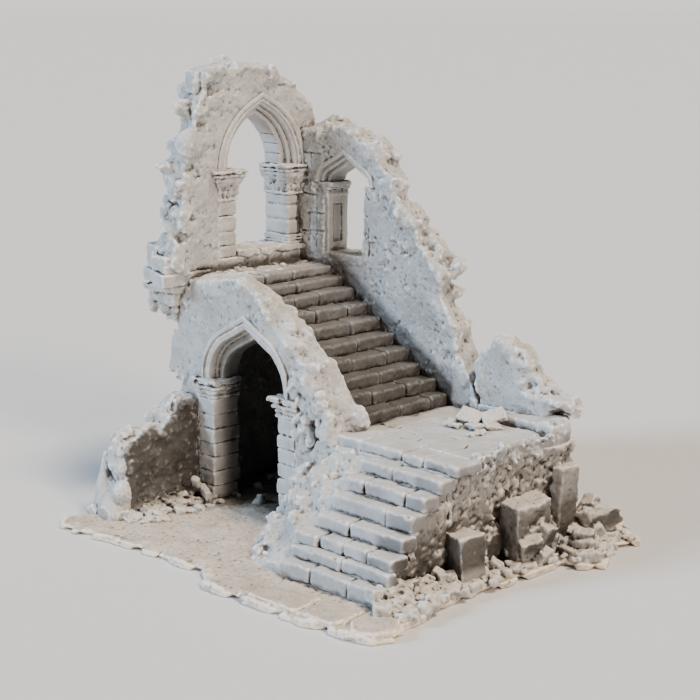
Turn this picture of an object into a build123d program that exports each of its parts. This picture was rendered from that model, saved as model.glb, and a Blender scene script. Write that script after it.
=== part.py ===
from build123d import *
import os
from math import cos, radians, sin, tan

os.makedirs("parts", exist_ok=True)

# ---------------------------------------------------------------------------
# Driving dimensions, mm.  +Z is up, the door faces -Y, the lower flight climbs
# towards +Y and the upper flight climbs towards -X.
# ---------------------------------------------------------------------------
SLAB_TOP = 2.5                  # thickness of the ground slab

SOUTH_FACE = -16.4              # outer face of the door wall
SOUTH_BACK = -6.0
END_FACE = -57.5                # inner face of the end wall
END_BACK = -69.5
NORTH_FACE = 34.5               # inner face of the wall beside the upper flight
NORTH_BACK = 45.0
CORNER_TOP = 120.0              # where the north wall ends under the end wall

DOOR_CENTRE = -29.3
DOOR_HALF = 15.0                # half of the clear width
DOOR_SPRING = 42.5              # height where the arch starts
DOOR_RISE = 15.0                # from there to the tip of the clear arch
DOOR_ORDER = 1.9                # width of the recessed inner ring
DOOR_RING = 3.8                 # width of both rings
DOOR_HOOD = 1.9                 # width of the hood mould
DOOR_GROWTH = 1.5               # a ring is this much thicker at its tip than at its foot
DOOR_JAMB = 7.7                 # width of a jamb
CAPITAL_FOOT = 36.0             # height where the door capitals start

WINDOW_CENTRE = 16.4
WINDOW_HALF = 11.6
WINDOW_SPRING = 107.2
WINDOW_RISE = 17.4
WINDOW_ORDER = 2.8
WINDOW_RING = 5.8
WINDOW_HOOD = 2.6
WINDOW_GROWTH = 0.9
WINDOW_JAMB = 7.2               # width of the left jamb
WINDOW_FOOT = 78.5              # bottom of the opening, under the sill
COLUMN_HALF_CAPITAL = 10.0      # height of the window capitals

SMALL_CENTRE = -37.5
SMALL_HALF = 9.2
SMALL_SPRING = 101.8
SMALL_RISE = 6.7
SMALL_RING = 3.4
SMALL_GROWTH = 1.0
SMALL_SILL = 78.5

FLIGHT_LEFT = 20.5              # lower flight, ends of the steps
FLIGHT_RIGHT = 59.3
FLIGHT_FACE = 56.0              # right face of the rubble under the steps
LANDING_LEFT = 10.6
LANDING_TOP = 35.4
CORE_TOP = 32.2                 # rubble under the landing paving
TOP_FLOOR = 74.4
KERB_FRONT = 27.8               # kerb under the low stub of the north wall
KERB_TOP = 38.5
STUB_START = 22.8               # where the stub begins, on the landing
LEDGE_UNDER = 71.4
LEDGE_TOP = 75.6

# Nosing (y, z) of each lower step and (x, z) of each upper step.
LOWER_NOSES = [(-48.4, 7.4), (-44.4, 10.9), (-42.0, 14.6), (-36.8, 18.9), (-32.1, 23.8),
               (-27.0, 28.2), (-21.8, CORE_TOP), (SOUTH_FACE, LANDING_TOP)]
UPPER_NOSES = [(LANDING_LEFT, 39.3), (4.9, 43.4), (-0.9, 47.5), (-6.6, 51.6), (-12.9, 55.7),
               (-19.3, 59.8), (-25.6, 63.9), (-31.3, 68.0), (-36.6, 71.3), (-41.8, TOP_FLOOR)]
NOSE_ROUND = 0.8
JOINT_WIDTH = 0.5
JOINT_DEPTH = 0.6
COURSE = 4.3                    # height of a dressed block in the jambs

# Locating pins stand half in the slab and half in the wall above it
PIN_RADIUS = 1.5
PIN_LENGTH = 3.0
PIN_PLACES = [(-56.5, -11.2), (-4.0, -11.2), (-63.5, 5.0), (-63.5, 25.0), (-40.0, 39.7), (-10.0, 39.7),
              (30.0, 10.0), (45.0, 25.0), (-57.8, -32.0)]


def save(piece, name):
    """Label a finished piece and write it to its own STEP file."""
    piece.part.label = name
    export_step(piece.part, f"parts/{name}.step")


ARCH_SLOPE = 28.0               # degrees, of the straight sides that meet at the tip


def pointed_arch(centre, half, spring, rise, foot):
    """Face of a pointed opening that stands on the level foot: each side is an arc, then straight."""
    turn = radians(90 - ARCH_SLOPE)
    slope = tan(radians(ARCH_SLOPE))
    radius = (rise - half * slope) / (sin(turn) - (1 - cos(turn)) * slope)

    def haunch(side, angle):
        return centre + side * (half - radius * (1 - cos(angle))), spring + radius * sin(angle)

    left, right = (centre - half, spring), (centre + half, spring)
    with BuildSketch() as opening:
        with BuildLine():
            ThreePointArc(left, haunch(-1, turn / 2), haunch(-1, turn))
            Polyline(haunch(-1, turn), (centre, spring + rise), haunch(1, turn))
            ThreePointArc(haunch(1, turn), haunch(1, turn / 2), right)
            if foot < spring:
                Polyline(right, (centre + half, foot), (centre - half, foot), left)
            else:
                Line(right, left)
        make_face()
    return opening.sketch


def arch_ring(centre, half, width, spring, rise, growth):
    """Face of a pointed ring that springs at the level spring and thickens towards its tip."""
    with BuildSketch() as ring:
        add(pointed_arch(centre, half + width, spring, rise + growth * width, spring - 1))
        add(pointed_arch(centre, half, spring, rise, spring - 1), mode=Mode.SUBTRACT)
        with Locations((centre, spring - 1)):
            Rectangle(4 * half, 2, mode=Mode.SUBTRACT)
    return ring.sketch


def outline(points):
    """Face with straight sides through the points."""
    with BuildSketch() as face:
        with BuildLine():
            Polyline(*points, close=True)
        make_face()
    return face.sketch


def cut_pin_sockets():
    """Sockets for the locating pins, cut from the part being built."""
    with Locations(*[(x, y, SLAB_TOP) for x, y in PIN_PLACES]):
        Cylinder(PIN_RADIUS, PIN_LENGTH, mode=Mode.SUBTRACT)


def solid_box(low, high):
    """Box between two corners, added to the part being built."""
    size = [top - bottom for bottom, top in zip(low, high)]
    with Locations(Location(tuple(low))):
        Box(*size, align=(Align.MIN, Align.MIN, Align.MIN))


# ---------------------------------------------------------------------------
# Ground slab and the flagstones on its front edge
# ---------------------------------------------------------------------------
SLAB_OUTLINE = [
    (-60.4, -66.0), (-51.5, -66.3), (-39.7, -62.5), (-29.7, -62.3), (-16.5, -61.3), (-0.5, -60.8),
    (4.3, -66.0), (10.9, -67.3), (23.7, -68.0), (29.3, -66.7), (39.1, -67.2), (49.7, -67.4),
    (54.5, -65.0), (62.0, -65.5), (72.5, -63.0), (75.0, -56.0), (70.5, -49.0), (70.5, -40.6),
    (68.0, -26.2), (69.0, -8.6), (69.5, 4.3), (69.3, 18.0), (74.0, 19.5), (79.8, 26.0),
    (75.5, 34.5), (71.0, 43.0), (74.5, 50.5), (71.0, 56.0), (62.0, 59.5), (50.0, 66.0),
    (36.0, 68.0), (10.0, 65.5), (-20.0, 67.5), (-48.0, 66.0), (-66.0, 62.0), (-76.0, 50.0),
    (-79.8, 30.0), (-77.0, 8.0), (-79.0, -12.0), (-75.0, -34.0), (-66.5, -46.0), (-67.5, -57.0)]

with BuildPart() as base_slab:
    with BuildSketch():
        add(outline(SLAB_OUTLINE))
    extrude(amount=SLAB_TOP)
    cut_pin_sockets()
save(base_slab, "base_slab")

FLAG_THICKNESS = 0.8
FLAGSTONES = [
    [(61.0, -60.0), (59.5, -51.0), (69.5, -50.0), (74.0, -56.0), (72.0, -62.5), (65.5, -64.5)],
    [(46.0, -65.5), (45.0, -54.0), (58.5, -51.5), (60.0, -61.0), (58.0, -64.5)],
    [(27.0, -65.5), (26.5, -55.5), (44.0, -54.0), (45.0, -65.0)]]

with BuildPart() as front_flagstones:
    with BuildSketch(Plane.XY.offset(SLAB_TOP)):
        for stone in FLAGSTONES:
            add(outline(stone))
    extrude(amount=FLAG_THICKNESS)
save(front_flagstones, "front_flagstones")

# ---------------------------------------------------------------------------
# South wall with the door: Plane.XZ looks along -Y, so depths run to -Y
# ---------------------------------------------------------------------------
SOUTH_OUTLINE = [
    (-60.0, SLAB_TOP), (-58.0, 34.0), (-60.5, 41.5), (-67.0, 42.4), (-67.2, 52.0), (-63.4, 56.5),
    (-63.6, 61.0), (-68.5, 64.5), (-68.5, LEDGE_UNDER), (END_FACE, LEDGE_UNDER), (END_FACE, 74.0),
    (-45.0, 74.4), (-38.0, 76.8), (-31.0, 75.8), (-25.0, 72.6), (-15.5, 67.2), (-10.0, 63.0),
    (-5.5, 57.8), (0.5, 54.0), (5.0, 48.5), (8.5, 44.5), (15.0, 43.0), (17.5, 38.0),
    (17.5, LANDING_TOP), (LANDING_LEFT, LANDING_TOP), (LANDING_LEFT, SLAB_TOP)]
SOUTH_FRONT_CUT = [
    (-31.4, 75.5), (-24.4, 72.3), (-19.4, 67.4), (-13.2, 60.6), (-7.8, 57.4), (-2.1, 52.2),
    (3.5, 45.1), (6.5, 38.9), (LANDING_LEFT - 0.5, 31.7), (25.0, 31.7), (25.0, 80.0), (-31.4, 80.0)]
WALL_STEP = 5.0                 # the broken top is lower over this depth at the front

with BuildPart() as south_wall:
    with BuildSketch(Plane.XZ.offset(-SOUTH_BACK)):
        add(outline(SOUTH_OUTLINE))
        add(pointed_arch(DOOR_CENTRE, DOOR_HALF + DOOR_RING, DOOR_SPRING,
                         DOOR_RISE + DOOR_GROWTH * DOOR_RING, DOOR_SPRING), mode=Mode.SUBTRACT)
        with Locations((DOOR_CENTRE, (SLAB_TOP + DOOR_SPRING) / 2)):
            Rectangle(2 * (DOOR_HALF + DOOR_JAMB), DOOR_SPRING - SLAB_TOP, mode=Mode.SUBTRACT)
    extrude(amount=SOUTH_BACK - SOUTH_FACE)
    with BuildSketch(Plane.XZ.offset(-SOUTH_FACE)):
        add(outline(SOUTH_FRONT_CUT))
    extrude(amount=-WALL_STEP, mode=Mode.SUBTRACT)
    cut_pin_sockets()
save(south_wall, "south_wall")

RECESS = 2.4                    # how far the inner ring stands back

with BuildPart() as door_arch_ring:
    with BuildSketch(Plane.XZ.offset(-SOUTH_BACK)):
        add(arch_ring(DOOR_CENTRE, DOOR_HALF, DOOR_ORDER, DOOR_SPRING, DOOR_RISE, DOOR_GROWTH))
    extrude(amount=SOUTH_BACK - SOUTH_FACE - RECESS)
    with BuildSketch(Plane.XZ.offset(-SOUTH_BACK)):
        add(arch_ring(DOOR_CENTRE, DOOR_HALF + DOOR_ORDER, DOOR_RING - DOOR_ORDER, DOOR_SPRING,
                      DOOR_RISE + DOOR_GROWTH * DOOR_ORDER, DOOR_GROWTH))
    extrude(amount=SOUTH_BACK - SOUTH_FACE)
save(door_arch_ring, "door_arch_ring")

HOOD_PROUD = 1.6                # how far a hood mould stands out of its wall
HOOD_LAP = 0.5                  # how far it covers the ring inside it

with BuildPart() as door_hood_mould:
    with BuildSketch(Plane.XZ.offset(-SOUTH_FACE)):
        add(arch_ring(DOOR_CENTRE, DOOR_HALF + DOOR_RING - HOOD_LAP, DOOR_HOOD, DOOR_SPRING,
                      DOOR_RISE + DOOR_GROWTH * (DOOR_RING - HOOD_LAP), DOOR_GROWTH))
    extrude(amount=HOOD_PROUD)
save(door_hood_mould, "door_hood_mould")

# Jambs: stacks of dressed blocks with a groove at each course, and capitals on top.
# Each capital steps out three times: (reach, from, to)
DOOR_CAPITAL_STEPS = ((0.7, CAPITAL_FOOT, 38.6), (1.2, 38.6, 40.2), (1.8, 40.2, DOOR_SPRING))

for side, name in ((-1, "left"), (1, "right")):
    inner = DOOR_CENTRE + side * DOOR_HALF
    outer = DOOR_CENTRE + side * (DOOR_HALF + DOOR_JAMB)
    middle = (inner + outer) / 2
    groove_levels = [SLAB_TOP + COURSE * n for n in range(1, 8)]
    with BuildPart() as jamb:
        solid_box((min(inner, outer), SOUTH_FACE, SLAB_TOP), (max(inner, outer), SOUTH_BACK, CAPITAL_FOOT))
        with Locations(*[(middle, SOUTH_FACE, level) for level in groove_levels]):
            Box(DOOR_JAMB, JOINT_DEPTH, JOINT_WIDTH, mode=Mode.SUBTRACT)
        with Locations(*[(inner, (SOUTH_FACE + SOUTH_BACK) / 2, level) for level in groove_levels]):
            Box(JOINT_DEPTH, SOUTH_BACK - SOUTH_FACE, JOINT_WIDTH, mode=Mode.SUBTRACT)
    save(jamb, f"door_jamb_{name}")

    with BuildPart() as capital:
        solid_box((min(inner, outer), SOUTH_FACE, CAPITAL_FOOT), (max(inner, outer), SOUTH_BACK, DOOR_SPRING))
        for reach, low, high in DOOR_CAPITAL_STEPS:
            face_in = inner - side * reach
            face_out = outer + side * reach
            solid_box((min(face_in, face_out), SOUTH_FACE - reach, low),
                      (max(face_in, face_out), SOUTH_FACE, high))
            solid_box((min(face_in, inner), SOUTH_FACE - reach, low),
                      (max(face_in, inner), SOUTH_BACK, high))
    save(capital, f"door_capital_{name}")

LEFT_STUB_OUT = -63.5           # low wall that runs forwards from the left end of the door wall
LEFT_STUB_DEPTH = 11.3
with BuildPart() as left_wall_stub:
    with BuildSketch(Plane.YZ.offset(LEFT_STUB_OUT)):
        add(outline([(-47.0, SLAB_TOP), (-45.5, 14.0), (-44.5, 21.0), (-42.0, 26.5), (-36.0, 27.6),
                     (-29.5, 27.5), (-27.5, 31.5), (-22.0, 35.0), (SOUTH_FACE, 36.0),
                     (SOUTH_FACE, SLAB_TOP)]))
    extrude(amount=LEFT_STUB_DEPTH)
    cut_pin_sockets()
save(left_wall_stub, "left_wall_stub")

# ---------------------------------------------------------------------------
# End wall with the tall window: Plane.YZ looks along +X
# ---------------------------------------------------------------------------
END_OUTLINE = [
    (SOUTH_BACK, SLAB_TOP), (NORTH_FACE, SLAB_TOP), (NORTH_FACE, CORNER_TOP), (NORTH_BACK, CORNER_TOP),
    (43.5, 123.1), (39.3, 128.0), (34.7, 130.5), (32.4, 134.9), (22.1, 139.8), (10.3, 142.9),
    (4.3, 141.2), (-3.3, 140.3), (-6.5, 139.5), (-6.3, 135.0), (-9.0, 131.0), (-8.6, 126.5),
    (-11.0, 121.0), (-12.2, 116.5), (-15.5, 112.5), (-16.6, 109.0), (-16.4, 103.0), (-14.5, 97.5),
    (-17.3, 93.0), (-18.2, 88.0), (-19.5, 83.8), (-19.5, LEDGE_TOP),
    (SOUTH_BACK, LEDGE_TOP)]
END_DEPTH = END_FACE - END_BACK

with BuildPart() as end_wall:
    with BuildSketch(Plane.YZ.offset(END_BACK)):
        add(outline(END_OUTLINE))
        add(pointed_arch(WINDOW_CENTRE, WINDOW_HALF + WINDOW_RING, WINDOW_SPRING,
                         WINDOW_RISE + WINDOW_GROWTH * WINDOW_RING, WINDOW_SPRING), mode=Mode.SUBTRACT)
        window_low = WINDOW_CENTRE - WINDOW_HALF - WINDOW_JAMB
        with Locations(((window_low + NORTH_FACE) / 2, (WINDOW_FOOT + WINDOW_SPRING) / 2)):
            Rectangle(NORTH_FACE - window_low, WINDOW_SPRING - WINDOW_FOOT, mode=Mode.SUBTRACT)
    extrude(amount=END_DEPTH)
    cut_pin_sockets()
save(end_wall, "end_wall")

with BuildPart() as window_arch_ring:
    with BuildSketch(Plane.YZ.offset(END_BACK)):
        add(arch_ring(WINDOW_CENTRE, WINDOW_HALF, WINDOW_ORDER, WINDOW_SPRING, WINDOW_RISE, WINDOW_GROWTH))
    extrude(amount=END_DEPTH - RECESS)
    with BuildSketch(Plane.YZ.offset(END_BACK)):
        add(arch_ring(WINDOW_CENTRE, WINDOW_HALF + WINDOW_ORDER, WINDOW_RING - WINDOW_ORDER, WINDOW_SPRING,
                      WINDOW_RISE + WINDOW_GROWTH * WINDOW_ORDER, WINDOW_GROWTH))
    extrude(amount=END_DEPTH)
save(window_arch_ring, "window_arch_ring")

with BuildPart() as window_hood_mould:
    with BuildSketch(Plane.YZ.offset(END_FACE)):
        add(arch_ring(WINDOW_CENTRE, WINDOW_HALF + WINDOW_RING - HOOD_LAP, WINDOW_HOOD, WINDOW_SPRING,
                      WINDOW_RISE + WINDOW_GROWTH * (WINDOW_RING - HOOD_LAP), WINDOW_GROWTH))
        with Locations((NORTH_FACE, WINDOW_SPRING)):
            Rectangle(WINDOW_RING, 3 * WINDOW_RISE, align=(Align.MIN, Align.CENTER), mode=Mode.SUBTRACT)
    extrude(amount=HOOD_PROUD)
save(window_hood_mould, "window_hood_mould")

pilaster_out = WINDOW_CENTRE - WINDOW_HALF - WINDOW_JAMB
pilaster_in = WINDOW_CENTRE - WINDOW_HALF
column_in = WINDOW_CENTRE + WINDOW_HALF
capital_foot = WINDOW_SPRING - COLUMN_HALF_CAPITAL

with BuildPart() as window_sill:
    solid_box((END_BACK - 1, pilaster_in, WINDOW_FOOT), (END_FACE + 1.2, column_in, WINDOW_FOOT + 2.3))
save(window_sill, "window_sill")

with BuildPart() as window_pilaster:
    solid_box((END_BACK, pilaster_out, WINDOW_FOOT), (END_FACE, pilaster_in, capital_foot))
    pilaster_middle = (pilaster_out + pilaster_in) / 2
    with Locations(*[(END_FACE, pilaster_middle, WINDOW_FOOT + COURSE * n) for n in (1, 2, 3)]):
        Box(JOINT_DEPTH, WINDOW_JAMB, JOINT_WIDTH, mode=Mode.SUBTRACT)
save(window_pilaster, "window_pilaster")

# Each capital steps out three times, towards the room and into the opening
STEPS_OUT = ((0.8, 0.0, 3.5), (1.8, 3.5, 7.0), (3.2, 7.0, COLUMN_HALF_CAPITAL))

with BuildPart() as window_pilaster_capital:
    solid_box((END_BACK, pilaster_out, capital_foot), (END_FACE, pilaster_in, WINDOW_SPRING))
    for reach, low, high in STEPS_OUT:
        solid_box((END_BACK, pilaster_in, capital_foot + low),
                  (END_FACE, pilaster_in + reach, capital_foot + high))
        solid_box((END_FACE, pilaster_out - reach, capital_foot + low),
                  (END_FACE + 0.6 * reach, pilaster_in + reach, capital_foot + high))
save(window_pilaster_capital, "window_pilaster_capital")

BASE_HEIGHT = 5.0
with BuildPart() as window_column_base:
    solid_box((END_BACK, column_in, WINDOW_FOOT), (END_FACE, NORTH_FACE, WINDOW_FOOT + BASE_HEIGHT))
    solid_box((END_FACE, column_in, WINDOW_FOOT), (END_FACE + 1.6, NORTH_FACE, WINDOW_FOOT + BASE_HEIGHT - 1))
save(window_column_base, "window_column_base")

SHAFT_STEP = 4.6                # the corner shaft is this wide, the rest stands back
with BuildPart() as window_column_shaft:
    shaft_foot = WINDOW_FOOT + BASE_HEIGHT
    solid_box((END_BACK, column_in, shaft_foot), (END_FACE, column_in + SHAFT_STEP, capital_foot))
    solid_box((END_BACK, column_in + SHAFT_STEP, shaft_foot), (END_FACE - 1.5, NORTH_FACE, capital_foot))
    with Locations(*[(END_FACE, column_in, level) for level in (shaft_foot + 2, capital_foot - 3)]):
        Box(2 * JOINT_DEPTH, 2 * JOINT_DEPTH, JOINT_WIDTH, mode=Mode.SUBTRACT)
save(window_column_shaft, "window_column_shaft")

with BuildPart() as window_column_capital:
    solid_box((END_BACK, column_in, capital_foot), (END_FACE, NORTH_FACE, WINDOW_SPRING))
    for reach, low, high in STEPS_OUT:
        solid_box((END_BACK, column_in - reach, capital_foot + low),
                  (END_FACE, column_in, capital_foot + high))
        solid_box((END_FACE, column_in - reach, capital_foot + low),
                  (END_FACE + 0.6 * reach, NORTH_FACE, capital_foot + high))
save(window_column_capital, "window_column_capital")

# ---------------------------------------------------------------------------
# Ledge at the free end of the end wall: its end face is cut on a slant
# ---------------------------------------------------------------------------
LEDGE_TIP = -26.2               # front corner of the ledge, on the end wall's face
LEDGE_OUT = -77.6               # its outer end
LEDGE_BLOCK_HEIGHT = 8.2
CORBEL_OUT = -75.8
CORBEL_FOOT = 59.0

with BuildPart() as ledge_slab:
    with BuildSketch(Plane.XY.offset(LEDGE_UNDER)):
        add(outline([(END_FACE, LEDGE_TIP), (LEDGE_OUT, -18.2), (LEDGE_OUT, -8.0), (-70.5, SOUTH_BACK),
                     (END_FACE, SOUTH_BACK)]))
    extrude(amount=LEDGE_TOP - LEDGE_UNDER)
save(ledge_slab, "ledge_slab")

with BuildPart() as ledge_block:
    with BuildSketch(Plane.XY.offset(LEDGE_TOP)):
        add(outline([(-58.2, -24.6), (-76.4, -17.6), (-76.4, -9.5), (END_BACK, -9.5), (END_BACK, -19.5),
                     (-58.2, -19.5)]))
    extrude(amount=LEDGE_BLOCK_HEIGHT)
save(ledge_block, "ledge_block")

with BuildPart() as ledge_corbel:
    with BuildSketch(Plane.XY.offset(LEDGE_UNDER)):
        add(outline([(-59.0, -22.5), (CORBEL_OUT, -17.4), (CORBEL_OUT, SOUTH_FACE), (-59.0, SOUTH_FACE)]))
    with BuildSketch(Plane.XY.offset(CORBEL_FOOT)):
        add(outline([(-62.0, -17.4), (-67.5, -17.2), (-67.5, SOUTH_FACE), (-62.0, SOUTH_FACE)]))
    loft()
    solid_box((CORBEL_OUT, -18.0, 65.0), (-70.0, -9.0, LEDGE_UNDER))
save(ledge_corbel, "ledge_corbel")

# ---------------------------------------------------------------------------
# North wall with the small window, and its low stub on the landing
# ---------------------------------------------------------------------------
NORTH_OUTLINE = [
    (END_BACK, SLAB_TOP), (END_BACK, CORNER_TOP), (END_FACE, CORNER_TOP), (-44.0, 121.6), (-37.0, 123.0),
    (-33.0, 119.5), (-27.0, 115.8), (-22.0, 113.2), (-19.0, 107.5), (-14.5, 99.5), (-10.5, 95.7),
    (-7.0, 90.0), (-4.0, 85.0), (3.0, 81.0), (5.5, 78.0), (4.0, 72.0), (6.0, 66.0), (10.0, 61.5),
    (12.0, 54.5), (16.0, 50.0), (20.0, 44.0), (STUB_START, 38.0), (STUB_START, CORE_TOP),
    (LANDING_LEFT, CORE_TOP), (LANDING_LEFT, SLAB_TOP)]

with BuildPart() as north_wall:
    with BuildSketch(Plane.XZ.offset(-NORTH_BACK)):
        add(outline(NORTH_OUTLINE))
        add(pointed_arch(SMALL_CENTRE, SMALL_HALF + SMALL_RING, SMALL_SPRING,
                         SMALL_RISE + SMALL_GROWTH * SMALL_RING,
                         SMALL_SPRING), mode=Mode.SUBTRACT)
        with Locations((SMALL_CENTRE, (SMALL_SILL - 2 + SMALL_SPRING) / 2)):
            Rectangle(2 * SMALL_HALF, SMALL_SPRING - SMALL_SILL + 2, mode=Mode.SUBTRACT)
    extrude(amount=NORTH_BACK - NORTH_FACE)
    cut_pin_sockets()
save(north_wall, "north_wall")

with BuildPart() as small_window_arch:
    with BuildSketch(Plane.XZ.offset(-NORTH_BACK)):
        add(arch_ring(SMALL_CENTRE, SMALL_HALF, SMALL_RING, SMALL_SPRING, SMALL_RISE, SMALL_GROWTH))
    extrude(amount=NORTH_BACK - NORTH_FACE)
save(small_window_arch, "small_window_arch")

small_low = SMALL_CENTRE - SMALL_HALF
small_high = SMALL_CENTRE + SMALL_HALF
with BuildPart() as small_window_sill:
    solid_box((small_low, NORTH_FACE, SMALL_SILL - 2), (small_high, NORTH_BACK + 1, SMALL_SILL))
save(small_window_sill, "small_window_sill")

PANEL_TOP = 97.0                # the panel fills the left reveal up to the impost
IMPOST_NECK = 100.4
PANEL_THICKNESS = 1.4
REVEAL_INSET = 0.8              # the panel starts this far behind the wall's face
with BuildPart() as small_window_panel:
    solid_box((small_low, NORTH_FACE + REVEAL_INSET, SMALL_SILL),
              (small_low + PANEL_THICKNESS, NORTH_BACK - REVEAL_INSET, PANEL_TOP))
    with Locations((small_low + PANEL_THICKNESS, (NORTH_FACE + NORTH_BACK) / 2, 86.0)):
        Box(REVEAL_INSET, 4.0, 12.0, mode=Mode.SUBTRACT)
save(small_window_panel, "small_window_panel")

with BuildPart() as small_window_impost:
    solid_box((small_low, NORTH_FACE + REVEAL_INSET, PANEL_TOP),
              (small_low + 1.8, NORTH_BACK - REVEAL_INSET, IMPOST_NECK))
    solid_box((small_low, NORTH_FACE, IMPOST_NECK), (small_low + 3.0, NORTH_BACK, SMALL_SPRING))
save(small_window_impost, "small_window_impost")

with BuildPart() as north_wall_stub:
    with BuildSketch(Plane.XZ.offset(-NORTH_BACK)):
        add(outline([(STUB_START, CORE_TOP), (STUB_START, 54.5), (27.0, 57.6), (31.0, 59.2), (34.5, 59.4),
                     (38.0, 57.0), (40.5, 51.5), (42.5, 48.2), (47.0, 45.2), (53.5, 44.2), (54.0, 41.5), (50.0, 38.8),
                     (50.0, CORE_TOP)]))
    extrude(amount=NORTH_BACK - NORTH_FACE)
save(north_wall_stub, "north_wall_stub")

# ---------------------------------------------------------------------------
# Lower flight, landing and upper flight
# ---------------------------------------------------------------------------
LOWER_JOINTS = ([33.0, 47.5], [41.5], [30.0, 39.5, 49.0], [37.0], [46.5], [33.0, 49.0], [39.0])

for number, joints in enumerate(LOWER_JOINTS, start=1):
    nose_y, nose_z = LOWER_NOSES[number - 1]
    back_y = LOWER_NOSES[number][0]
    foot_z = LOWER_NOSES[number - 2][1] if number > 1 else SLAB_TOP
    with BuildPart() as lower_step:
        solid_box((FLIGHT_LEFT, nose_y, foot_z), (FLIGHT_RIGHT, back_y, nose_z))
        nose_edge = lower_step.edges().filter_by(Axis.X).group_by(Axis.Z)[-1].sort_by(Axis.Y)[0]
        fillet(nose_edge, NOSE_ROUND)
        with Locations(*[(x, (nose_y + back_y) / 2, nose_z) for x in joints]):
            Box(JOINT_WIDTH, back_y - nose_y, 2 * JOINT_DEPTH, mode=Mode.SUBTRACT)
        with Locations(*[(x, nose_y, (nose_z + foot_z) / 2) for x in joints]):
            Box(JOINT_WIDTH, 2 * JOINT_DEPTH, nose_z - foot_z, mode=Mode.SUBTRACT)
    save(lower_step, f"lower_step_{number}")

with BuildPart() as lower_flight_core:
    stair_line = []
    level = SLAB_TOP
    for (_, foot_z), (nose_y, _) in zip(LOWER_NOSES[:-2], LOWER_NOSES[1:-1]):
        stair_line += [(nose_y, level), (nose_y, foot_z)]
        level = foot_z
    landing_front = LOWER_NOSES[-1][0]
    with BuildSketch(Plane.YZ.offset(FLIGHT_LEFT)):
        add(outline(stair_line + [(landing_front, stair_line[-1][1]), (landing_front, SLAB_TOP)]))
    extrude(amount=FLIGHT_FACE - FLIGHT_LEFT)
save(lower_flight_core, "lower_flight_core")

with BuildPart() as landing_core:
    with BuildSketch(Plane.XY.offset(SLAB_TOP)):
        add(outline([(LANDING_LEFT, landing_front), (FLIGHT_FACE, landing_front), (FLIGHT_FACE, 34.0),
                     (52.0, NORTH_BACK), (LANDING_LEFT, NORTH_BACK)]))
    extrude(amount=CORE_TOP - SLAB_TOP)
    cut_pin_sockets()
save(landing_core, "landing_core")

EDGE_DEPTH = 9.0
EDGE_JOINTS = [37.5, 46.0]
with BuildPart() as landing_edge:
    solid_box((FLIGHT_LEFT, landing_front, CORE_TOP), (FLIGHT_RIGHT, landing_front + EDGE_DEPTH, LANDING_TOP))
    nose_edge = landing_edge.edges().filter_by(Axis.X).group_by(Axis.Z)[-1].sort_by(Axis.Y)[0]
    fillet(nose_edge, NOSE_ROUND)
    with Locations(*[(x, landing_front + EDGE_DEPTH / 2, LANDING_TOP) for x in EDGE_JOINTS]):
        Box(JOINT_WIDTH, EDGE_DEPTH, 2 * JOINT_DEPTH, mode=Mode.SUBTRACT)
    with Locations(*[(x, landing_front, (CORE_TOP + LANDING_TOP) / 2) for x in EDGE_JOINTS]):
        Box(JOINT_WIDTH, 2 * JOINT_DEPTH, LANDING_TOP - CORE_TOP, mode=Mode.SUBTRACT)
save(landing_edge, "landing_edge")

with BuildPart() as landing_paving:
    with BuildSketch(Plane.XY.offset(CORE_TOP)):
        add(outline([(LANDING_LEFT, landing_front), (FLIGHT_LEFT, landing_front),
                     (FLIGHT_LEFT, landing_front + EDGE_DEPTH), (58.0, landing_front + EDGE_DEPTH),
                     (55.5, 2.0), (54.0, 16.0), (55.5, KERB_FRONT), (LANDING_LEFT, KERB_FRONT)]))
        with Locations(((LANDING_LEFT + STUB_START) / 2, (KERB_FRONT + NORTH_FACE) / 2)):
            Rectangle(STUB_START - LANDING_LEFT, NORTH_FACE - KERB_FRONT)
    extrude(amount=LANDING_TOP - CORE_TOP)
save(landing_paving, "landing_paving")

with BuildPart() as stub_kerb:
    with BuildSketch(Plane.XY.offset(CORE_TOP)):
        add(outline([(STUB_START, KERB_FRONT), (57.0, KERB_FRONT), (58.0, 33.0), (56.0, 38.0), (52.5, 43.0),
                     (50.0, 43.0), (50.0, NORTH_FACE), (STUB_START, NORTH_FACE)]))
    extrude(amount=KERB_TOP - CORE_TOP)
save(stub_kerb, "stub_kerb")

with BuildPart() as landing_rubble:
    with BuildSketch(Plane.XY.offset(LANDING_TOP)):
        add(outline([(30.0, 10.0), (36.0, 8.5), (39.0, 13.0), (33.5, 15.5)]))
        add(outline([(27.5, 19.0), (36.0, 16.8), (40.5, 21.5), (36.0, 26.0), (29.0, 25.0)]))
    extrude(amount=2.0)
save(landing_rubble, "landing_rubble")

# Joint places across each upper step, measured along Y
UPPER_JOINTS = ([12.0, 26.0], [6.0, 21.0], [15.0], [8.5, 24.0], [17.0], [5.0, 20.0], [11.0, 25.0],
                [7.0, 18.0], [13.0])

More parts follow.
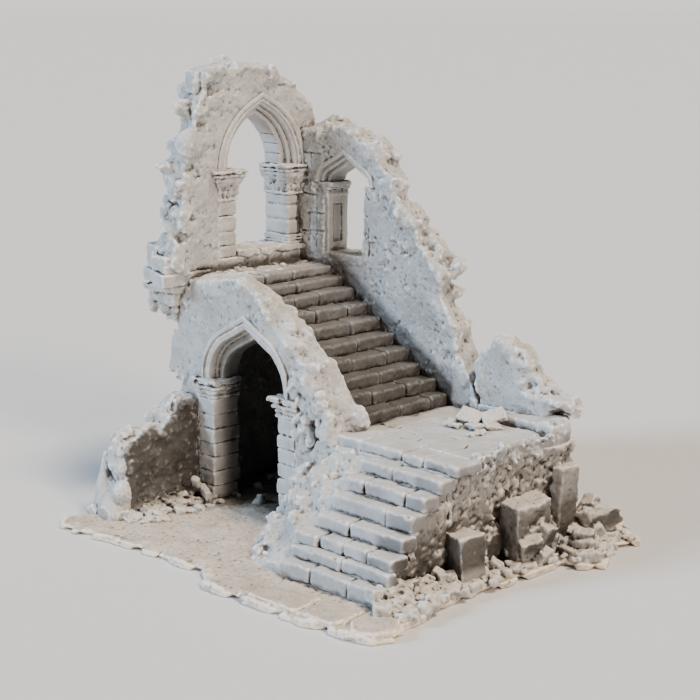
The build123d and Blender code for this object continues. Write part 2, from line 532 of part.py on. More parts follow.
for number, joints in enumerate(UPPER_JOINTS, start=1):
    nose_x, nose_z = UPPER_NOSES[number - 1]
    back_x = UPPER_NOSES[number][0]
    foot_z = UPPER_NOSES[number - 2][1] if number > 1 else LANDING_TOP
    with BuildPart() as upper_step:
        solid_box((back_x, SOUTH_BACK, foot_z), (nose_x, NORTH_FACE, nose_z))
        nose_edge = upper_step.edges().filter_by(Axis.Y).group_by(Axis.Z)[-1].sort_by(Axis.X)[-1]
        fillet(nose_edge, NOSE_ROUND)
        with Locations(*[((nose_x + back_x) / 2, y, nose_z) for y in joints]):
            Box(nose_x - back_x, JOINT_WIDTH, 2 * JOINT_DEPTH, mode=Mode.SUBTRACT)
        with Locations(*[(nose_x, y, (nose_z + foot_z) / 2) for y in joints]):
            Box(2 * JOINT_DEPTH, JOINT_WIDTH, nose_z - foot_z, mode=Mode.SUBTRACT)
    save(upper_step, f"upper_step_{number}")

# The flight is a sloping vault: stepped on top, open underneath
SOFFIT_LOW = 27.0
SOFFIT_HIGH = 65.0
EDGE_BACK = -47.5
with BuildPart() as upper_flight_core:
    stair_line = [(LANDING_LEFT, LANDING_TOP)]
    for (_, foot_z), (nose_x, _) in zip(UPPER_NOSES[:-1], UPPER_NOSES[1:]):
        stair_line += [(nose_x, stair_line[-1][1]), (nose_x, foot_z)]
    with BuildSketch(Plane.XZ.offset(-NORTH_FACE)):
        add(outline(stair_line + [(EDGE_BACK, UPPER_NOSES[-2][1]), (EDGE_BACK, SOFFIT_HIGH),
                                  (UPPER_NOSES[-1][0], SOFFIT_HIGH), (LANDING_LEFT, SOFFIT_LOW)]))
    extrude(amount=NORTH_FACE - SOUTH_BACK)
save(upper_flight_core, "upper_flight_core")

with BuildPart() as top_floor_edge:
    solid_box((EDGE_BACK, SOUTH_BACK, UPPER_NOSES[-2][1]), (UPPER_NOSES[-1][0], NORTH_FACE, TOP_FLOOR))
    nose_edge = top_floor_edge.edges().filter_by(Axis.Y).group_by(Axis.Z)[-1].sort_by(Axis.X)[-1]
    fillet(nose_edge, NOSE_ROUND)
    with Locations(*[((EDGE_BACK + UPPER_NOSES[-1][0]) / 2, y, TOP_FLOOR) for y in (4.0, 16.0)]):
        Box(UPPER_NOSES[-1][0] - EDGE_BACK, JOINT_WIDTH, 2 * JOINT_DEPTH, mode=Mode.SUBTRACT)
save(top_floor_edge, "top_floor_edge")

with BuildPart() as top_floor:
    solid_box((END_FACE, SOUTH_BACK, SOFFIT_HIGH), (EDGE_BACK, NORTH_FACE, TOP_FLOOR))
save(top_floor, "top_floor")

# ---------------------------------------------------------------------------
# Rubble: a bank beside the lower flight, yard stones and fallen blocks
# ---------------------------------------------------------------------------
BANK_SECTIONS = [
    (landing_front, [(-6.6, SLAB_TOP), (-2.0, 24.0), (3.0, 30.0), (LANDING_LEFT, 33.0), (FLIGHT_LEFT, 34.0)]),
    (-27.0, [(-9.0, SLAB_TOP), (-1.0, 11.0), (6.0, 19.0), (14.0, 26.0), (FLIGHT_LEFT, 27.0)]),
    (-37.0, [(-3.0, SLAB_TOP), (4.0, 8.0), (10.0, 12.5), (15.0, 15.5), (FLIGHT_LEFT, 18.0)]),
    (-47.0, [(5.0, SLAB_TOP), (9.0, 4.0), (13.0, 5.0), (16.5, 6.0), (FLIGHT_LEFT, 8.0)])]

with BuildPart() as stair_bank:
    for section_y, points in BANK_SECTIONS:
        with BuildSketch(Plane.XZ.offset(-section_y)):
            add(outline(points + [(FLIGHT_LEFT, SLAB_TOP)]))
    loft(ruled=True)
save(stair_bank, "stair_bank")

YARD_STONES = [
    ((-46.0, -30.0), 6.0, 3.4), ((-47.5, -38.0), 5.0, 2.8), ((-41.0, -33.5), 4.5, 2.4),
    ((-43.0, -41.0), 4.2, 2.2), ((-45.5, -47.5), 4.6, 2.0), ((-39.0, -27.0), 4.0, 2.2)]

with BuildPart() as yard_rubble:
    for (x, y), size, height in YARD_STONES:
        with BuildSketch(Plane.XY.offset(SLAB_TOP)):
            with Locations((x, y)):
                RegularPolygon(size / 2, 5, rotation=7 * x)
        extrude(amount=height)
save(yard_rubble, "yard_rubble")

FALLEN = {
    "fallen_block_near": [([(56.0, -8.0), (56.0, -17.5), (64.0, -21.0), (64.5, -11.0)], 16.5)],
    "fallen_block_large": [([(56.0, 7.5), (65.0, 3.5), (70.5, 10.5), (65.0, 20.5), (56.0, 21.5)], 22.0)],
    "fallen_blocks_back": [([(56.0, 27.0), (60.5, 28.0), (61.0, 36.0), (57.5, 37.5)], 27.0),
                           ([(62.0, 38.0), (67.0, 37.0), (69.0, 43.5), (63.0, 48.5), (58.5, 45.0)], 15.5)]}

for name, blocks in FALLEN.items():
    with BuildPart() as fallen:
        for plan, top in blocks:
            with BuildSketch(Plane.XY.offset(SLAB_TOP)):
                add(outline(plan))
            extrude(amount=top - SLAB_TOP, taper=3)
    save(fallen, name)

with BuildPart() as layered_slabs:
    with BuildSketch(Plane.XY.offset(SLAB_TOP)):
        add(outline([(65.0, 22.0), (73.5, 20.5), (78.5, 26.0), (75.0, 32.5), (69.5, 36.0), (64.0, 34.0)]))
    extrude(amount=3.0)
    with BuildSketch(Plane.XY.offset(SLAB_TOP + 3.0)):
        add(outline([(64.5, 24.0), (71.5, 23.0), (76.0, 27.5), (73.0, 32.0), (69.0, 35.5), (64.0, 33.5)]))
    extrude(amount=3.5, taper=8)
save(layered_slabs, "layered_slabs")

# ---------------------------------------------------------------------------
# Locating pins, hidden in the slab under each wall and in the landing
# ---------------------------------------------------------------------------
with BuildPart() as locating_pins:
    with Locations(*[(x, y, SLAB_TOP) for x, y in PIN_PLACES]):
        Cylinder(PIN_RADIUS, PIN_LENGTH)
save(locating_pins, "locating_pins")
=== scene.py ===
"""Looks of the ruined gothic stair: each piece is a signed-distance field around its CAD node,
roughened with seeded noise, meshed, and given a procedural stone material. Lengths are in mm."""

from collections import namedtuple
from math import cos, pi, radians, sin, tan

import bpy
import numpy as np
import openvdb
from mathutils import Euler, Matrix, Vector


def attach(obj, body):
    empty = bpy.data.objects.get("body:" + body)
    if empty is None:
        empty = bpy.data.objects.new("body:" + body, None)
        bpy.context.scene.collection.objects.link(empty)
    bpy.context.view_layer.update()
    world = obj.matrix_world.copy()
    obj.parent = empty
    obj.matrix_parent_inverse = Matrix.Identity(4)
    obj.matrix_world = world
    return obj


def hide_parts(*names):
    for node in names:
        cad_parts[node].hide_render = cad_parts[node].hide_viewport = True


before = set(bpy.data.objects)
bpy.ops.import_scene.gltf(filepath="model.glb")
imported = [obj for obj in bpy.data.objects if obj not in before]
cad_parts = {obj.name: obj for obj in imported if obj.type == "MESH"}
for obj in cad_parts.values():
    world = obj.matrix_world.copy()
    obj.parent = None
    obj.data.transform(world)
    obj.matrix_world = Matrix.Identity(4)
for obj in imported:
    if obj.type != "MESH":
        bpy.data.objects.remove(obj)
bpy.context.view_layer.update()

MM = 0.001
COARSE = 1.0
FAR = 6.0               # the largest distance that a field keeps

# ---- Seeded noise: two small volumes that tile ----
WAVE_SIDE, WAVE_CELL = 64, 8
CELL_SIDE, CELL_STEP = 96, 8


def wave_volume():
    """Smooth band-limited noise, about one feature per WAVE_CELL voxels, spread 1."""
    white = np.random.default_rng(11).standard_normal((WAVE_SIDE,) * 3)
    freq = np.fft.fftfreq(WAVE_SIDE) * WAVE_CELL
    length = np.sqrt(sum(f**2 for f in np.meshgrid(freq, freq, freq, indexing="ij")))
    noise = np.fft.ifftn(np.fft.fftn(white) * np.exp(-(((length - 0.75) / 0.3) ** 2))).real
    return (noise / noise.std()).astype(np.float32)


def cell_volumes():
    """Distance to the nearest of scattered points, how much further the second nearest is, and a
    flat facet through each nearest point, tilted and raised its own way."""
    cells = CELL_SIDE // CELL_STEP
    rng = np.random.default_rng(12)
    seeds = rng.random((cells, cells, cells, 3))
    tilts = rng.uniform(-1, 1, (cells, cells, cells, 3))
    lifts = rng.uniform(-0.5, 0.5, (cells, cells, cells))
    axis = (np.arange(CELL_SIDE) + 0.5) / CELL_STEP
    near = np.full((CELL_SIDE,) * 3, 9.0, np.float32)
    second, facet = near.copy(), near.copy()
    for step in np.ndindex(3, 3, 3):
        cell = [np.floor(axis).astype(int) + s - 1 for s in step]
        pick = np.ix_(*(c % cells for c in cell))
        away = [v - seeds[pick][..., n] for n, v in enumerate(np.ix_(*(axis - c for c in cell)))]
        far = np.sqrt(sum(v * v for v in away)).astype(np.float32)
        plane = lifts[pick] + sum(v * tilts[pick][..., n] for n, v in enumerate(away))
        facet = np.where(far < near, plane, facet).astype(np.float32)
        second = np.minimum(second, np.maximum(near, far))
        near = np.minimum(near, far)
    return near, second - near, facet


WAVE = wave_volume()
NEAR, RIDGE, FACET = cell_volumes()


def between(volume, base, over, part):
    """Linear interpolation between the voxels at base and over; part is how far along each point is."""
    flat, (_, ny, nz) = volume.ravel(), volume.shape
    total = 0
    for corner in np.ndindex(2, 2, 2):
        i, j, k = ((over if c else base)[:, n] for n, c in enumerate(corner))
        p, q, r = (part[:, n] if c else 1 - part[:, n] for n, c in enumerate(corner))
        total = total + flat[(i * ny + j) * nz + k] * (p * q) * r
    return total


def sample(volume, points):
    """Volume read at points given in voxels; it repeats in every direction."""
    side = volume.shape[0]
    base = np.floor(points).astype(np.int32)
    return between(volume, base % side, (base + 1) % side, (points - base).astype(np.float32))


def fbm(points, size, octaves=3, seed=0):
    """Layered smooth noise; size is its coarsest feature."""
    total, weight = 0, 1.0
    for octave in range(octaves):
        shift = np.array([17.3, 5.1, 11.7]) * (seed + 1) + 7.7 * octave
        total = total + weight * sample(WAVE, points * (WAVE_CELL / size) + shift)
        weight *= 0.5
        size /= 2.1
    return total


def cells(volume, points, size, seed):
    return sample(volume, points * (CELL_STEP / size) + np.array([31.7, 12.9, 23.3]) * (seed + 1))


def lumps(points, size, seed=0):
    """Rounded pebbles: 1 on each crown, 0 in the gaps."""
    return 1 - np.clip(cells(NEAR, points, size, seed) / 0.8, 0, 1) ** 2


def chips(points, size, seed=0):
    """Flat facets that meet at sharp steps, about -0.8 to 0.8."""
    return cells(FACET, points, size, seed)


def gaps(points, size, seed=0):
    """0 in the joints between neighbouring cells, 1 away from them."""
    return np.clip(cells(RIDGE, points, size, seed) / 0.3, 0, 1)


def ease(low, high, value):
    """Smooth step from 0 at low to 1 at high."""
    t = np.clip((value - low) / (high - low), 0, 1)
    return t * t * (3 - 2 * t)


# ---- Distance fields ----
def soft_min(a, b, blend):
    if blend <= 0:
        return np.minimum(a, b)
    return np.minimum(a, b) - np.maximum(blend - np.abs(a - b), 0) ** 2 / (4 * blend)


class Field:
    """Signed distance on a regular grid, negative inside."""

    def __init__(self, low, high, pitch=0.4):
        self.pitch = pitch * COARSE
        self.low = (np.floor(np.array(low, float) / self.pitch) - 4) * self.pitch
        size = np.ceil((np.array(high, float) - self.low) / self.pitch).astype(int) + 5
        self.d = np.full(size, FAR, np.float32)

    def add(self, shape, blend=0.0, at=None, reach=0.0, sign=1):
        """Joins a shape on, or cuts it out with sign -1; with at, only within reach of that point."""
        first, last = np.zeros(3, int), np.array(self.d.shape)
        if at is not None:
            a, b = (((np.array(at, float) + s * np.array(reach)) - self.low) / self.pitch for s in (-1, 1))
            first = np.clip(np.floor(a).astype(int), 0, last)
            last = np.clip(np.ceil(b).astype(int) + 1, 0, last)
        part = tuple(slice(a, b) for a, b in zip(first, last))
        if self.d[part].size:
            axes = [(o + self.pitch * np.arange(a, b)).astype(np.float32)
                    for o, a, b in zip(self.low, first, last)]
            self.d[part] = sign * soft_min(sign * self.d[part], shape(*np.ix_(*axes)), blend)

    def cut(self, shape, blend=0.0, at=None, reach=0.0):
        self.add(shape, blend, at, reach, -1)

    def rough(self, height, reach=2.6):
        """Moves the surface outwards by height(points)."""
        near = np.nonzero(np.abs(self.d) < reach)
        points = np.stack([self.low[i] + self.pitch * near[i] for i in range(3)], 1).astype(np.float32)
        self.d[near] -= np.clip(height(points), -reach, reach).astype(np.float32)
        return self

    def surface(self):
        grid = openvdb.FloatGrid(FAR)
        for axis in range(3):
            for end in (0, -1):
                self.d[tuple(end if a == axis else slice(None) for a in range(3))] = FAR
        grid.copyFromArray(np.ascontiguousarray(np.clip(self.d, -FAR, FAR)))
        points, quads = grid.convertToQuads(0.0)
        return self.low + points.astype(np.float64) * self.pitch, quads.astype(np.int64)


def rounded(side, end, rounding):
    """Distance to an edge between two faces, from the distances to them drawn in by rounding."""
    outside = np.sqrt(np.maximum(side, 0) ** 2 + np.maximum(end, 0) ** 2)
    return outside + np.minimum(np.maximum(side, end), 0) - rounding


def box(low, high, rounding=0.5):
    """Box with rounded edges."""
    low, high = np.array(low, float), np.array(high, float)
    middle, half = (low + high) / 2, (high - low) / 2 - rounding

    def shape(x, y, z):
        q = [np.abs(v - m) - h for v, m, h in zip((x, y, z), middle, half)]
        outside = np.sqrt(sum(np.maximum(v, 0) ** 2 for v in q))
        return outside + np.minimum(np.maximum(np.maximum(q[0], q[1]), q[2]), 0) - rounding

    return shape


def turned(shape, c, angles):
    """The same shape, turned about a point by angles in degrees."""
    m = np.array(Euler([radians(a) for a in angles]).to_matrix().transposed())

    def moved(x, y, z):
        dx, dy, dz = x - c[0], y - c[1], z - c[2]
        return shape(*(m[i, 0] * dx + m[i, 1] * dy + m[i, 2] * dz + c[i] for i in range(3)))

    return moved


def brick(c, half, rounding, angles):
    """Box about its centre, turned."""
    c, half = np.array(c, float), np.array(half, float)
    return turned(box(c - half, c + half, rounding), c, angles)


def ball(c, radii):
    """Ellipsoid."""
    def shape(x, y, z):
        return (np.sqrt(sum(((v - m) / r) ** 2 for v, m, r in zip((x, y, z), c, radii))) - 1) * min(radii)

    return shape


def rock(c, radii, rng, facets=11, turn=True):
    """Angular stone: the space inside random planes."""
    normals = rng.standard_normal((facets, 3))
    normals /= np.linalg.norm(normals, axis=1)[:, None]
    normals = np.concatenate([normals, np.eye(3), -np.eye(3)])
    reach = np.linalg.norm(normals * np.array(radii), axis=1) * rng.uniform(0.68, 0.98, len(normals))
    angles = rng.uniform(0, 2 * pi, 3) if turn else (0, 0, rng.uniform(0, 2 * pi))
    normals = normals @ np.array(Euler(tuple(angles)).to_matrix()).T

    def shape(x, y, z):
        far = -1e3
        for n, r in zip(normals, reach):
            far = np.maximum(far, n[0] * (x - c[0]) + n[1] * (y - c[1]) + n[2] * (z - c[2]) - r)
        return far

    return shape


def pebble(c, size, spread, rng):
    """Angular stone whose radius lies in the range size, and each half width in the range spread of it."""
    return rock(np.array(c), rng.uniform(*size) * rng.uniform(*spread, 3), rng)


def boulder(c, size, spread, rng):
    """The same with a rounded stone."""
    return ball(c, rng.uniform(*size) * rng.uniform(*spread, 3))


def line_distance(points, u, v, closed=False):
    """Distance to an open or closed polyline in a plane."""
    p = np.array(points, float)
    best = np.full(np.broadcast(u, v).shape, 1e9)
    for (au, av), (bu, bv) in zip(p if closed else p[:-1], np.roll(p, -1, 0)):
        eu, ev = bu - au, bv - av
        t = np.clip(((u - au) * eu + (v - av) * ev) / (eu * eu + ev * ev), 0, 1)
        best = np.minimum(best, (u - au - eu * t) ** 2 + (v - av - ev * t) ** 2)
    return np.sqrt(best).astype(np.float32)


def polygon(points, u, v):
    """Signed distance to a closed outline in a plane, negative inside."""
    p = np.array(points, float)
    inside = np.zeros(np.broadcast(u, v).shape, bool)
    for (au, av), (bu, bv) in zip(p, np.roll(p, -1, 0)):
        if av != bv:
            crosses = ((av <= v) & (v < bv)) | ((bv <= v) & (v < av))
            inside ^= crosses & (u < au + (bu - au) * (v - av) / (bv - av))
    away = line_distance(p, u, v, True)
    return np.where(inside, -away, away)


def prism(points, low, high, rounding=0.5, axis=2):
    """Outline in the plane across axis, between two levels of it, with rounded edges."""
    def shape(x, y, z):
        u, v, w = ((y, z, x), (x, z, y), (x, y, z))[axis]
        end = np.abs(w - (low + high) / 2) - (high - low) / 2 + rounding
        return rounded(polygon(points, u, v) + rounding, end, rounding)

    return shape


SLOPE = radians(28.0)           # of the straight sides that meet at an arch's tip


def arch_offset(u, v, arch):
    """How far outside the clear opening of a pointed arch a point lies, along rings that
    thicken towards the tip: each side is an arc, then straight."""
    bend = pi / 2 - SLOPE
    radius = (arch.rise - arch.half * tan(SLOPE)) / (sin(bend) - (1 - cos(bend)) * tan(SLOPE))
    across, up = np.abs(u - arch.centre), v - arch.spring
    hub = across - arch.half + radius
    angle = np.arctan2(up, hub)
    arc = np.hypot(hub, up) - radius
    line = (up - arch.rise + across * tan(SLOPE)) * cos(SLOPE)
    stretch = 1 + (arch.growth * cos(SLOPE) - 1) * np.clip(angle / bend, 0, 1)
    return np.where(up >= 0, np.where(angle < bend, arc, line) / stretch, across - arch.half)


# ---- Finished meshes ----
pieces = []
CROWD_PITCH = 1.0               # of the coarse map of the whole object
CROWD_LOW = np.array([-95.0, -85.0, -8.0])
CROWD_SIZE = np.array([190, 170, 170])
crowd = np.zeros(CROWD_SIZE, np.float32)
LEAST = 150                     # corners; a loose part with fewer is dropped


def note_volume(field):
    """Adds the field's solid voxels to the coarse map."""
    inside = np.nonzero(field.d < 0)
    cell = [np.clip(((field.low[i] + field.pitch * inside[i] - CROWD_LOW[i]) / CROWD_PITCH).astype(int),
                    0, CROWD_SIZE[i] - 1) for i in range(3)]
    flat = (cell[0] * CROWD_SIZE[1] + cell[1]) * CROWD_SIZE[2] + cell[2]
    share = np.bincount(flat, minlength=crowd.size).reshape(crowd.shape) * (field.pitch / CROWD_PITCH) ** 3
    crowd[...] += share.astype(np.float32)


def corner_edges(quads):
    return quads.T.ravel(), np.roll(quads, -1, 1).T.ravel()


def drop_crumbs(points, quads):
    """Removes loose parts with too few corners."""
    a, b = corner_edges(quads)
    label, old = np.arange(len(points)), None
    while old is None or (label != old).any():
        old = label
        low = np.minimum(old[a], old[b])
        label = old.copy()
        np.minimum.at(label, old[a], low)
        np.minimum.at(label, old[b], low)
        for _ in range(4):
            label = label[label]
    keep = np.bincount(label, minlength=len(points))[label] >= LEAST
    return points[keep], (np.cumsum(keep) - 1)[quads[keep[quads[:, 0]]]]


def normals_of(points, quads):
    face = np.cross(points[quads[:, 2]] - points[quads[:, 0]], points[quads[:, 3]] - points[quads[:, 1]])
    total = np.zeros_like(points)
    for i in range(4):
        for axis in range(3):
            total[:, axis] += np.bincount(quads[:, i], weights=face[:, axis], minlength=len(points))
    return total / np.maximum(np.linalg.norm(total, axis=1), 1e-9)[:, None]


def smoothed(points, quads, rounds, strength=1.0):
    a, b = corner_edges(quads)
    count = np.maximum(np.bincount(a, minlength=len(points)), 1)
    for _ in range(rounds):
        mean = np.stack([np.bincount(a, weights=points[b, i], minlength=len(points)) for i in range(3)], 1)
        points = points + strength * (mean / count[:, None] - points)
    return points


def publish(name, field, slot, *nodes, fine=0.05, grain=1.1):
    """Turns a field into a mesh piece that stands for its CAD nodes. fine is the height of its
    surface grain and grain the size."""
    note_volume(field)
    points, quads = drop_crumbs(*field.surface())
    points = smoothed(points, quads, 1, 0.5)
    height = fine * (fbm(points, grain, 2, 21) * 0.6 + 1.2 * chips(points, grain * 1.5, 9))
    points = points + normals_of(points, quads) * height[:, None]
    points[:, 2] = np.maximum(points[:, 2], 0)
    pieces.append((name, points, quads, slot, nodes))


def blurred(volume, radius):
    """Box blur of the coarse map along its three axes."""
    for axis in range(3):
        padded = np.concatenate([np.zeros_like(volume.take([0], axis)), np.cumsum(volume, axis)], axis)
        n = volume.shape[axis]
        high, low = (np.clip(np.arange(n) + shift, 0, n) for shift in (radius + 1, -radius))
        volume = (padded.take(high, axis) - padded.take(low, axis)) / (2 * radius + 1)
    return volume


def read_crowd(volume, points):
    q = (points - CROWD_LOW) / CROWD_PITCH - 0.5
    base = np.clip(np.floor(q).astype(int), 0, np.array(volume.shape) - 2)
    return between(volume, base, base + 1, np.clip(q - base, 0, 1))


def grime_and_shade_at(points, normal):
    """Where brown wash and painted shade lie thick: the passage, the upper flight, low on the rubble side,
    the left stub's inner face.
    """
    x, y, z = points.T
    soffit = 27.0 + (10.6 - x) * 0.725
    inside = (ease(-17.0, -9.0, y) * (y < 36) * (x < 12) * (x > -58.5)
              * (1 - ease(-1.0, 1.5, z - soffit)) * 0.9)
    stair = 37.4 + (10.6 - x) * 0.665
    tread = (ease(-7.0, -5.0, y) * (y < 35.5) * ease(-48.0, -40.0, x) * (1 - ease(11.0, 13.0, x))
             * (1 - ease(4.0, 9.0, z - stair)) * (z > soffit)
             * (0.95 + 0.05 * normal[:, 0] - 0.2 * ease(20, -45, x)))
    gravel = ease(57.5, 60.0, x) * (1 - ease(5.0, 8.0, z))
    # painted light and shade: less on faces that look up or to the front, more low down
    side = (ease(46.0, 50.0, x) * ease(-46.0, -40.0, y) * (0.55 + 0.43 * (1 - ease(12.0, 24.0, z)))
            * (1 - ease(35.2, 36.6, z)) * (1 - 0.55 * gravel) * (1 - 0.95 * ease(0.2, 0.7, normal[:, 2]))
            * (1 - 0.25 * ease(0.3, 0.9, -normal[:, 1])))
    # painted shade beside the door: faces that look along +x, and everything low down
    yard = ((1 - ease(-50.0, -44.0, x)) * (x > -55.5) * (y < -17) * (y > -46)
            * ease(0.1, 0.7, normal[:, 0] + (z < 9) * 1.0))
    return np.clip(np.maximum.reduce([inside, tread, side, yard]), 0, 1)


def make_objects(materials):
    """Blender objects of all pieces, with the corner values that the materials read."""
    solid = np.clip(crowd, 0, 1)
    near_crowd, wide_crowd = blurred(solid, 2), blurred(blurred(solid, 4), 3)
    for name, points, quads, slot, nodes in pieces:
        normal = normals_of(points, quads)
        tight = smoothed(points, quads, 3)
        wide = smoothed(tight, quads, 10)
        values = {key: np.clip(((flat - points) * normal).sum(1) / full * 0.5 + 0.5, 0, 1)
                  for key, flat, full in (("dip", tight, 0.16), ("hollow", wide, 0.55))}
        # painted shade: darker where the coarse map of all pieces closes round a point, as occlusion would
        values["corner_shade"] = (ease(0.14, 0.55, read_crowd(near_crowd, points + normal * 2.2))
                          + ease(0.10, 0.5, read_crowd(wide_crowd, points + normal * 6.0))) / 2
        values["grime_and_shade"] = grime_and_shade_at(points, normal)
        mesh = bpy.data.meshes.new(name)
        mesh.vertices.add(len(points))
        mesh.vertices.foreach_set("co", (points * MM).astype(np.float32).ravel())
        mesh.loops.add(4 * len(quads))
        mesh.loops.foreach_set("vertex_index", quads.ravel().astype(np.int32))
        mesh.polygons.add(len(quads))
        mesh.polygons.foreach_set("loop_start", np.arange(0, 4 * len(quads), 4, dtype=np.int32))
        mesh.polygons.foreach_set("use_smooth", np.ones(len(quads), bool))
        mesh.update(calc_edges=True)
        for key, value in values.items():
            mesh.attributes.new(key, "FLOAT", "POINT").data.foreach_set("value", value.astype(np.float32))
        obj = place_object(name, mesh)
        mesh.materials.append(materials[slot])
        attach(obj, "root")
        if nodes:
            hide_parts(*nodes)


def place_object(name, data):
    obj = bpy.data.objects.new(name, data)
    bpy.context.scene.collection.objects.link(obj)
    return obj


# ---- Dimensions shared with the CAD ----
SLAB_TOP = 2.5
SOUTH_FACE, SOUTH_BACK = -16.4, -6.0
END_FACE, END_BACK = -57.5, -69.5
NORTH_FACE, NORTH_BACK = 34.5, 45.0
Arch = namedtuple("Arch", "centre half spring rise growth")
DOOR = Arch(-29.3, 15.0, 42.5, 15.0, 1.5)
WINDOW = Arch(16.4, 11.6, 107.2, 17.4, 0.9)
SMALL = Arch(-37.5, 9.2, 101.8, 6.7, 1.0)
DOOR_RING, WINDOW_RING, SMALL_RING = 3.8, 5.8, 3.4
DOOR_JAMB, WINDOW_JAMB, CAPITAL_FOOT = 7.7, 7.2, 36.0
WINDOW_FOOT, SMALL_SILL = 78.5, 78.5
FLIGHT_LEFT, FLIGHT_RIGHT, FLIGHT_FACE = 20.5, 59.3, 56.0
LANDING_LEFT, LANDING_TOP, CORE_TOP = 10.6, 35.4, 32.2
TOP_FLOOR, LEDGE_UNDER, LEDGE_TOP = 74.4, 71.4, 75.6
LOWER_NOSES = [(-48.4, 7.4), (-44.4, 10.9), (-42.0, 14.6), (-36.8, 18.9), (-32.1, 23.8), (-27.0, 28.2),
               (-21.8, CORE_TOP), (SOUTH_FACE, LANDING_TOP)]
UPPER_NOSES = [(LANDING_LEFT, 39.3), (4.9, 43.4), (-0.9, 47.5), (-6.6, 51.6), (-12.9, 55.7),
               (-19.3, 59.8), (-25.6, 63.9), (-31.3, 68.0), (-36.6, 71.3), (-41.8, TOP_FLOOR)]


def worn(field, amount=0.1, size=5.0, seed=4):
    """Light wear of a dressed stone: soft waves and shallow chips."""
    return field.rough(lambda p: amount * (fbm(p, size, 3, seed) * 0.9 + chips(p, 2.6, seed)))


def stone_height(waves, size, octaves, seed, *parts):
    """Height function of waves and of chips, each part of which is (height, size, seed)."""
    return lambda p: sum((a * chips(p, s, n) for a, s, n in parts), waves * fbm(p, size, octaves, seed))


# ---- Rough walls ----
def along(line, share):
    """Points at shares 0..1 of a polyline's length, and the length."""
    p = np.array(line, float)
    step = np.concatenate([[0], np.cumsum(np.linalg.norm(np.diff(p, axis=0), axis=1))])
    return np.stack([np.interp(share * step[-1], step, p[:, i]) for i in (0, 1)], -1), step[-1]


def wall(axis, face, back, front_line, back_line, closing, seed, extra=None, scale=1.0,
         knob=(2.0, 3.6), spacing=10.0, chip=1.0):
    """A wall across axis (0 or 1). front_line and back_line are its broken margin on its two faces,
    and closing carries either round the rest of the outline."""
    rng = np.random.default_rng(seed)
    every = np.array(front_line + back_line + closing, float)
    (u0, v0), (u1, v1) = every.min(0) - 5, every.max(0) + 5
    middle, thick = (face + back) / 2, abs(face - back)

    def place(w, u, v):
        return (w, u, v) if axis == 0 else (u, w, v)

    field = Field(place(min(face, back) - 4, u0, v0), place(max(face, back) + 4, u1, v1), 0.38)

    def slab(x, y, z):
        u, w = (y, x) if axis == 0 else (x, y)
        t = np.clip((w - face) / (back - face), 0, 1)
        front, rear = (polygon(line + closing, u, z) for line in (front_line, back_line))
        return -soft_min(-(front + (rear - front) * t), thick / 2 - np.abs(w - middle), 1.2)

    field.add(slab)
    rows, count = max(2, int(thick / 3.4)), int(along(front_line, 1.0)[1] / spacing)
    for row in range(rows):
        t = (row + 0.5) / rows
        shares = (np.arange(count) + rng.uniform(0, 1, count)) / count
        a, b = (along(line, shares)[0] for line in (front_line, back_line))
        for u, v in a + (b - a) * t:
            w = face + (back - face) * (t + rng.uniform(-0.12, 0.12))
            radius = rng.uniform(*knob) * scale
            c = place(w, u + rng.uniform(-0.8, 0.8), v + rng.uniform(-2.0, -0.2))
            radii = radius * rng.uniform(0.7, 1.15, 3)
            if rng.random() >= 0.35:
                stone = ball(c, radii) if rng.random() < 0.7 else rock(c, radii * 1.15, rng)
                field.add(stone, 3.0, c, radius * 1.3 + 2)
    if extra:
        extra(field, rng)

    def height(points):
        u, v, w = points[:, 1 - axis], points[:, 2], points[:, axis]
        near = np.minimum(line_distance(front_line, u, v), line_distance(back_line, u, v))
        broken = 1 - ease(0.5, 5.5, near + 1.6 * fbm(points, 9, 2, seed))
        inner = ease(0.25, 0.9, np.clip(1 - np.abs(w - middle) / (thick / 2), 0, 1) * 4)
        return surface_height(points, np.maximum(broken, inner * (near < 6)) * scale, seed, chip)

    return field.rough(height, 3.2)


def surface_height(points, broken, seed, chip=1.0):
    """Height of chipped, pitted plaster, rising to worn rolling masonry where broken is 1."""
    patch = ease(-0.8, 1.0, fbm(points, 12, 2, seed + 5))
    waves = fbm(points, 9.0, 3, seed + 2)
    flat, small, tiny = (chips(points, size, seed + n) for n, size in enumerate((4.4, 2.7, 1.5)))
    pits = ease(1.0, 1.9, fbm(points, 3.2, 2, seed + 7))
    plain = chip * (0.15 * flat + 0.2 * small + 0.08 * tiny) * (0.35 + 0.9 * patch)
    plain = 0.1 * waves + plain - 0.15 * pits * patch
    loose = 0.42 * waves + 0.26 * flat + 0.14 * small + 0.1 * tiny + 0.25 * (lumps(points, 6.5, seed) - 0.6)
    return plain + (loose - plain) * broken


def knobs(field, places, blend=0.9):
    """Individual boulders standing out of a broken edge: (centre, radii)."""
    for c, radii in places:
        field.add(ball(c, radii), blend, c, max(radii) + 2)


# South wall: the door wall, whose broken top falls from the ledge to the landing
SOUTH_FRONT = [(-57.5, 73.6), (-51.0, 73.8), (-45.3, 74.1), (-39.9, 76.3), (-36.1, 76.8), (-31.4, 75.5),
               (-24.4, 72.3), (-19.4, 67.4), (-13.2, 60.6), (-7.8, 57.4), (-2.1, 52.2), (3.5, 45.1),
               (6.5, 38.9), (8.7, 31.7)]
SOUTH_REAR = [(-57.5, 74.0), (-50.0, 75.0), (-41.8, 75.5), (-32.8, 75.1), (-26.3, 72.7), (-15.4, 67.2),
              (-10.0, 63.6), (-5.6, 58.1), (0.1, 54.0), (4.4, 49.1), (7.5, 44.6), (13.4, 42.2),
              (15.2, 36.5), (14.6, 32.4)]
SOUTH_LEFT = [(-59.7, 37.2), (-60.1, 41.8), (-66.8, 42.4), (-67.0, 52.1), (-63.2, 56.6), (-63.6, 60.9),
              (-68.8, 63.2)]
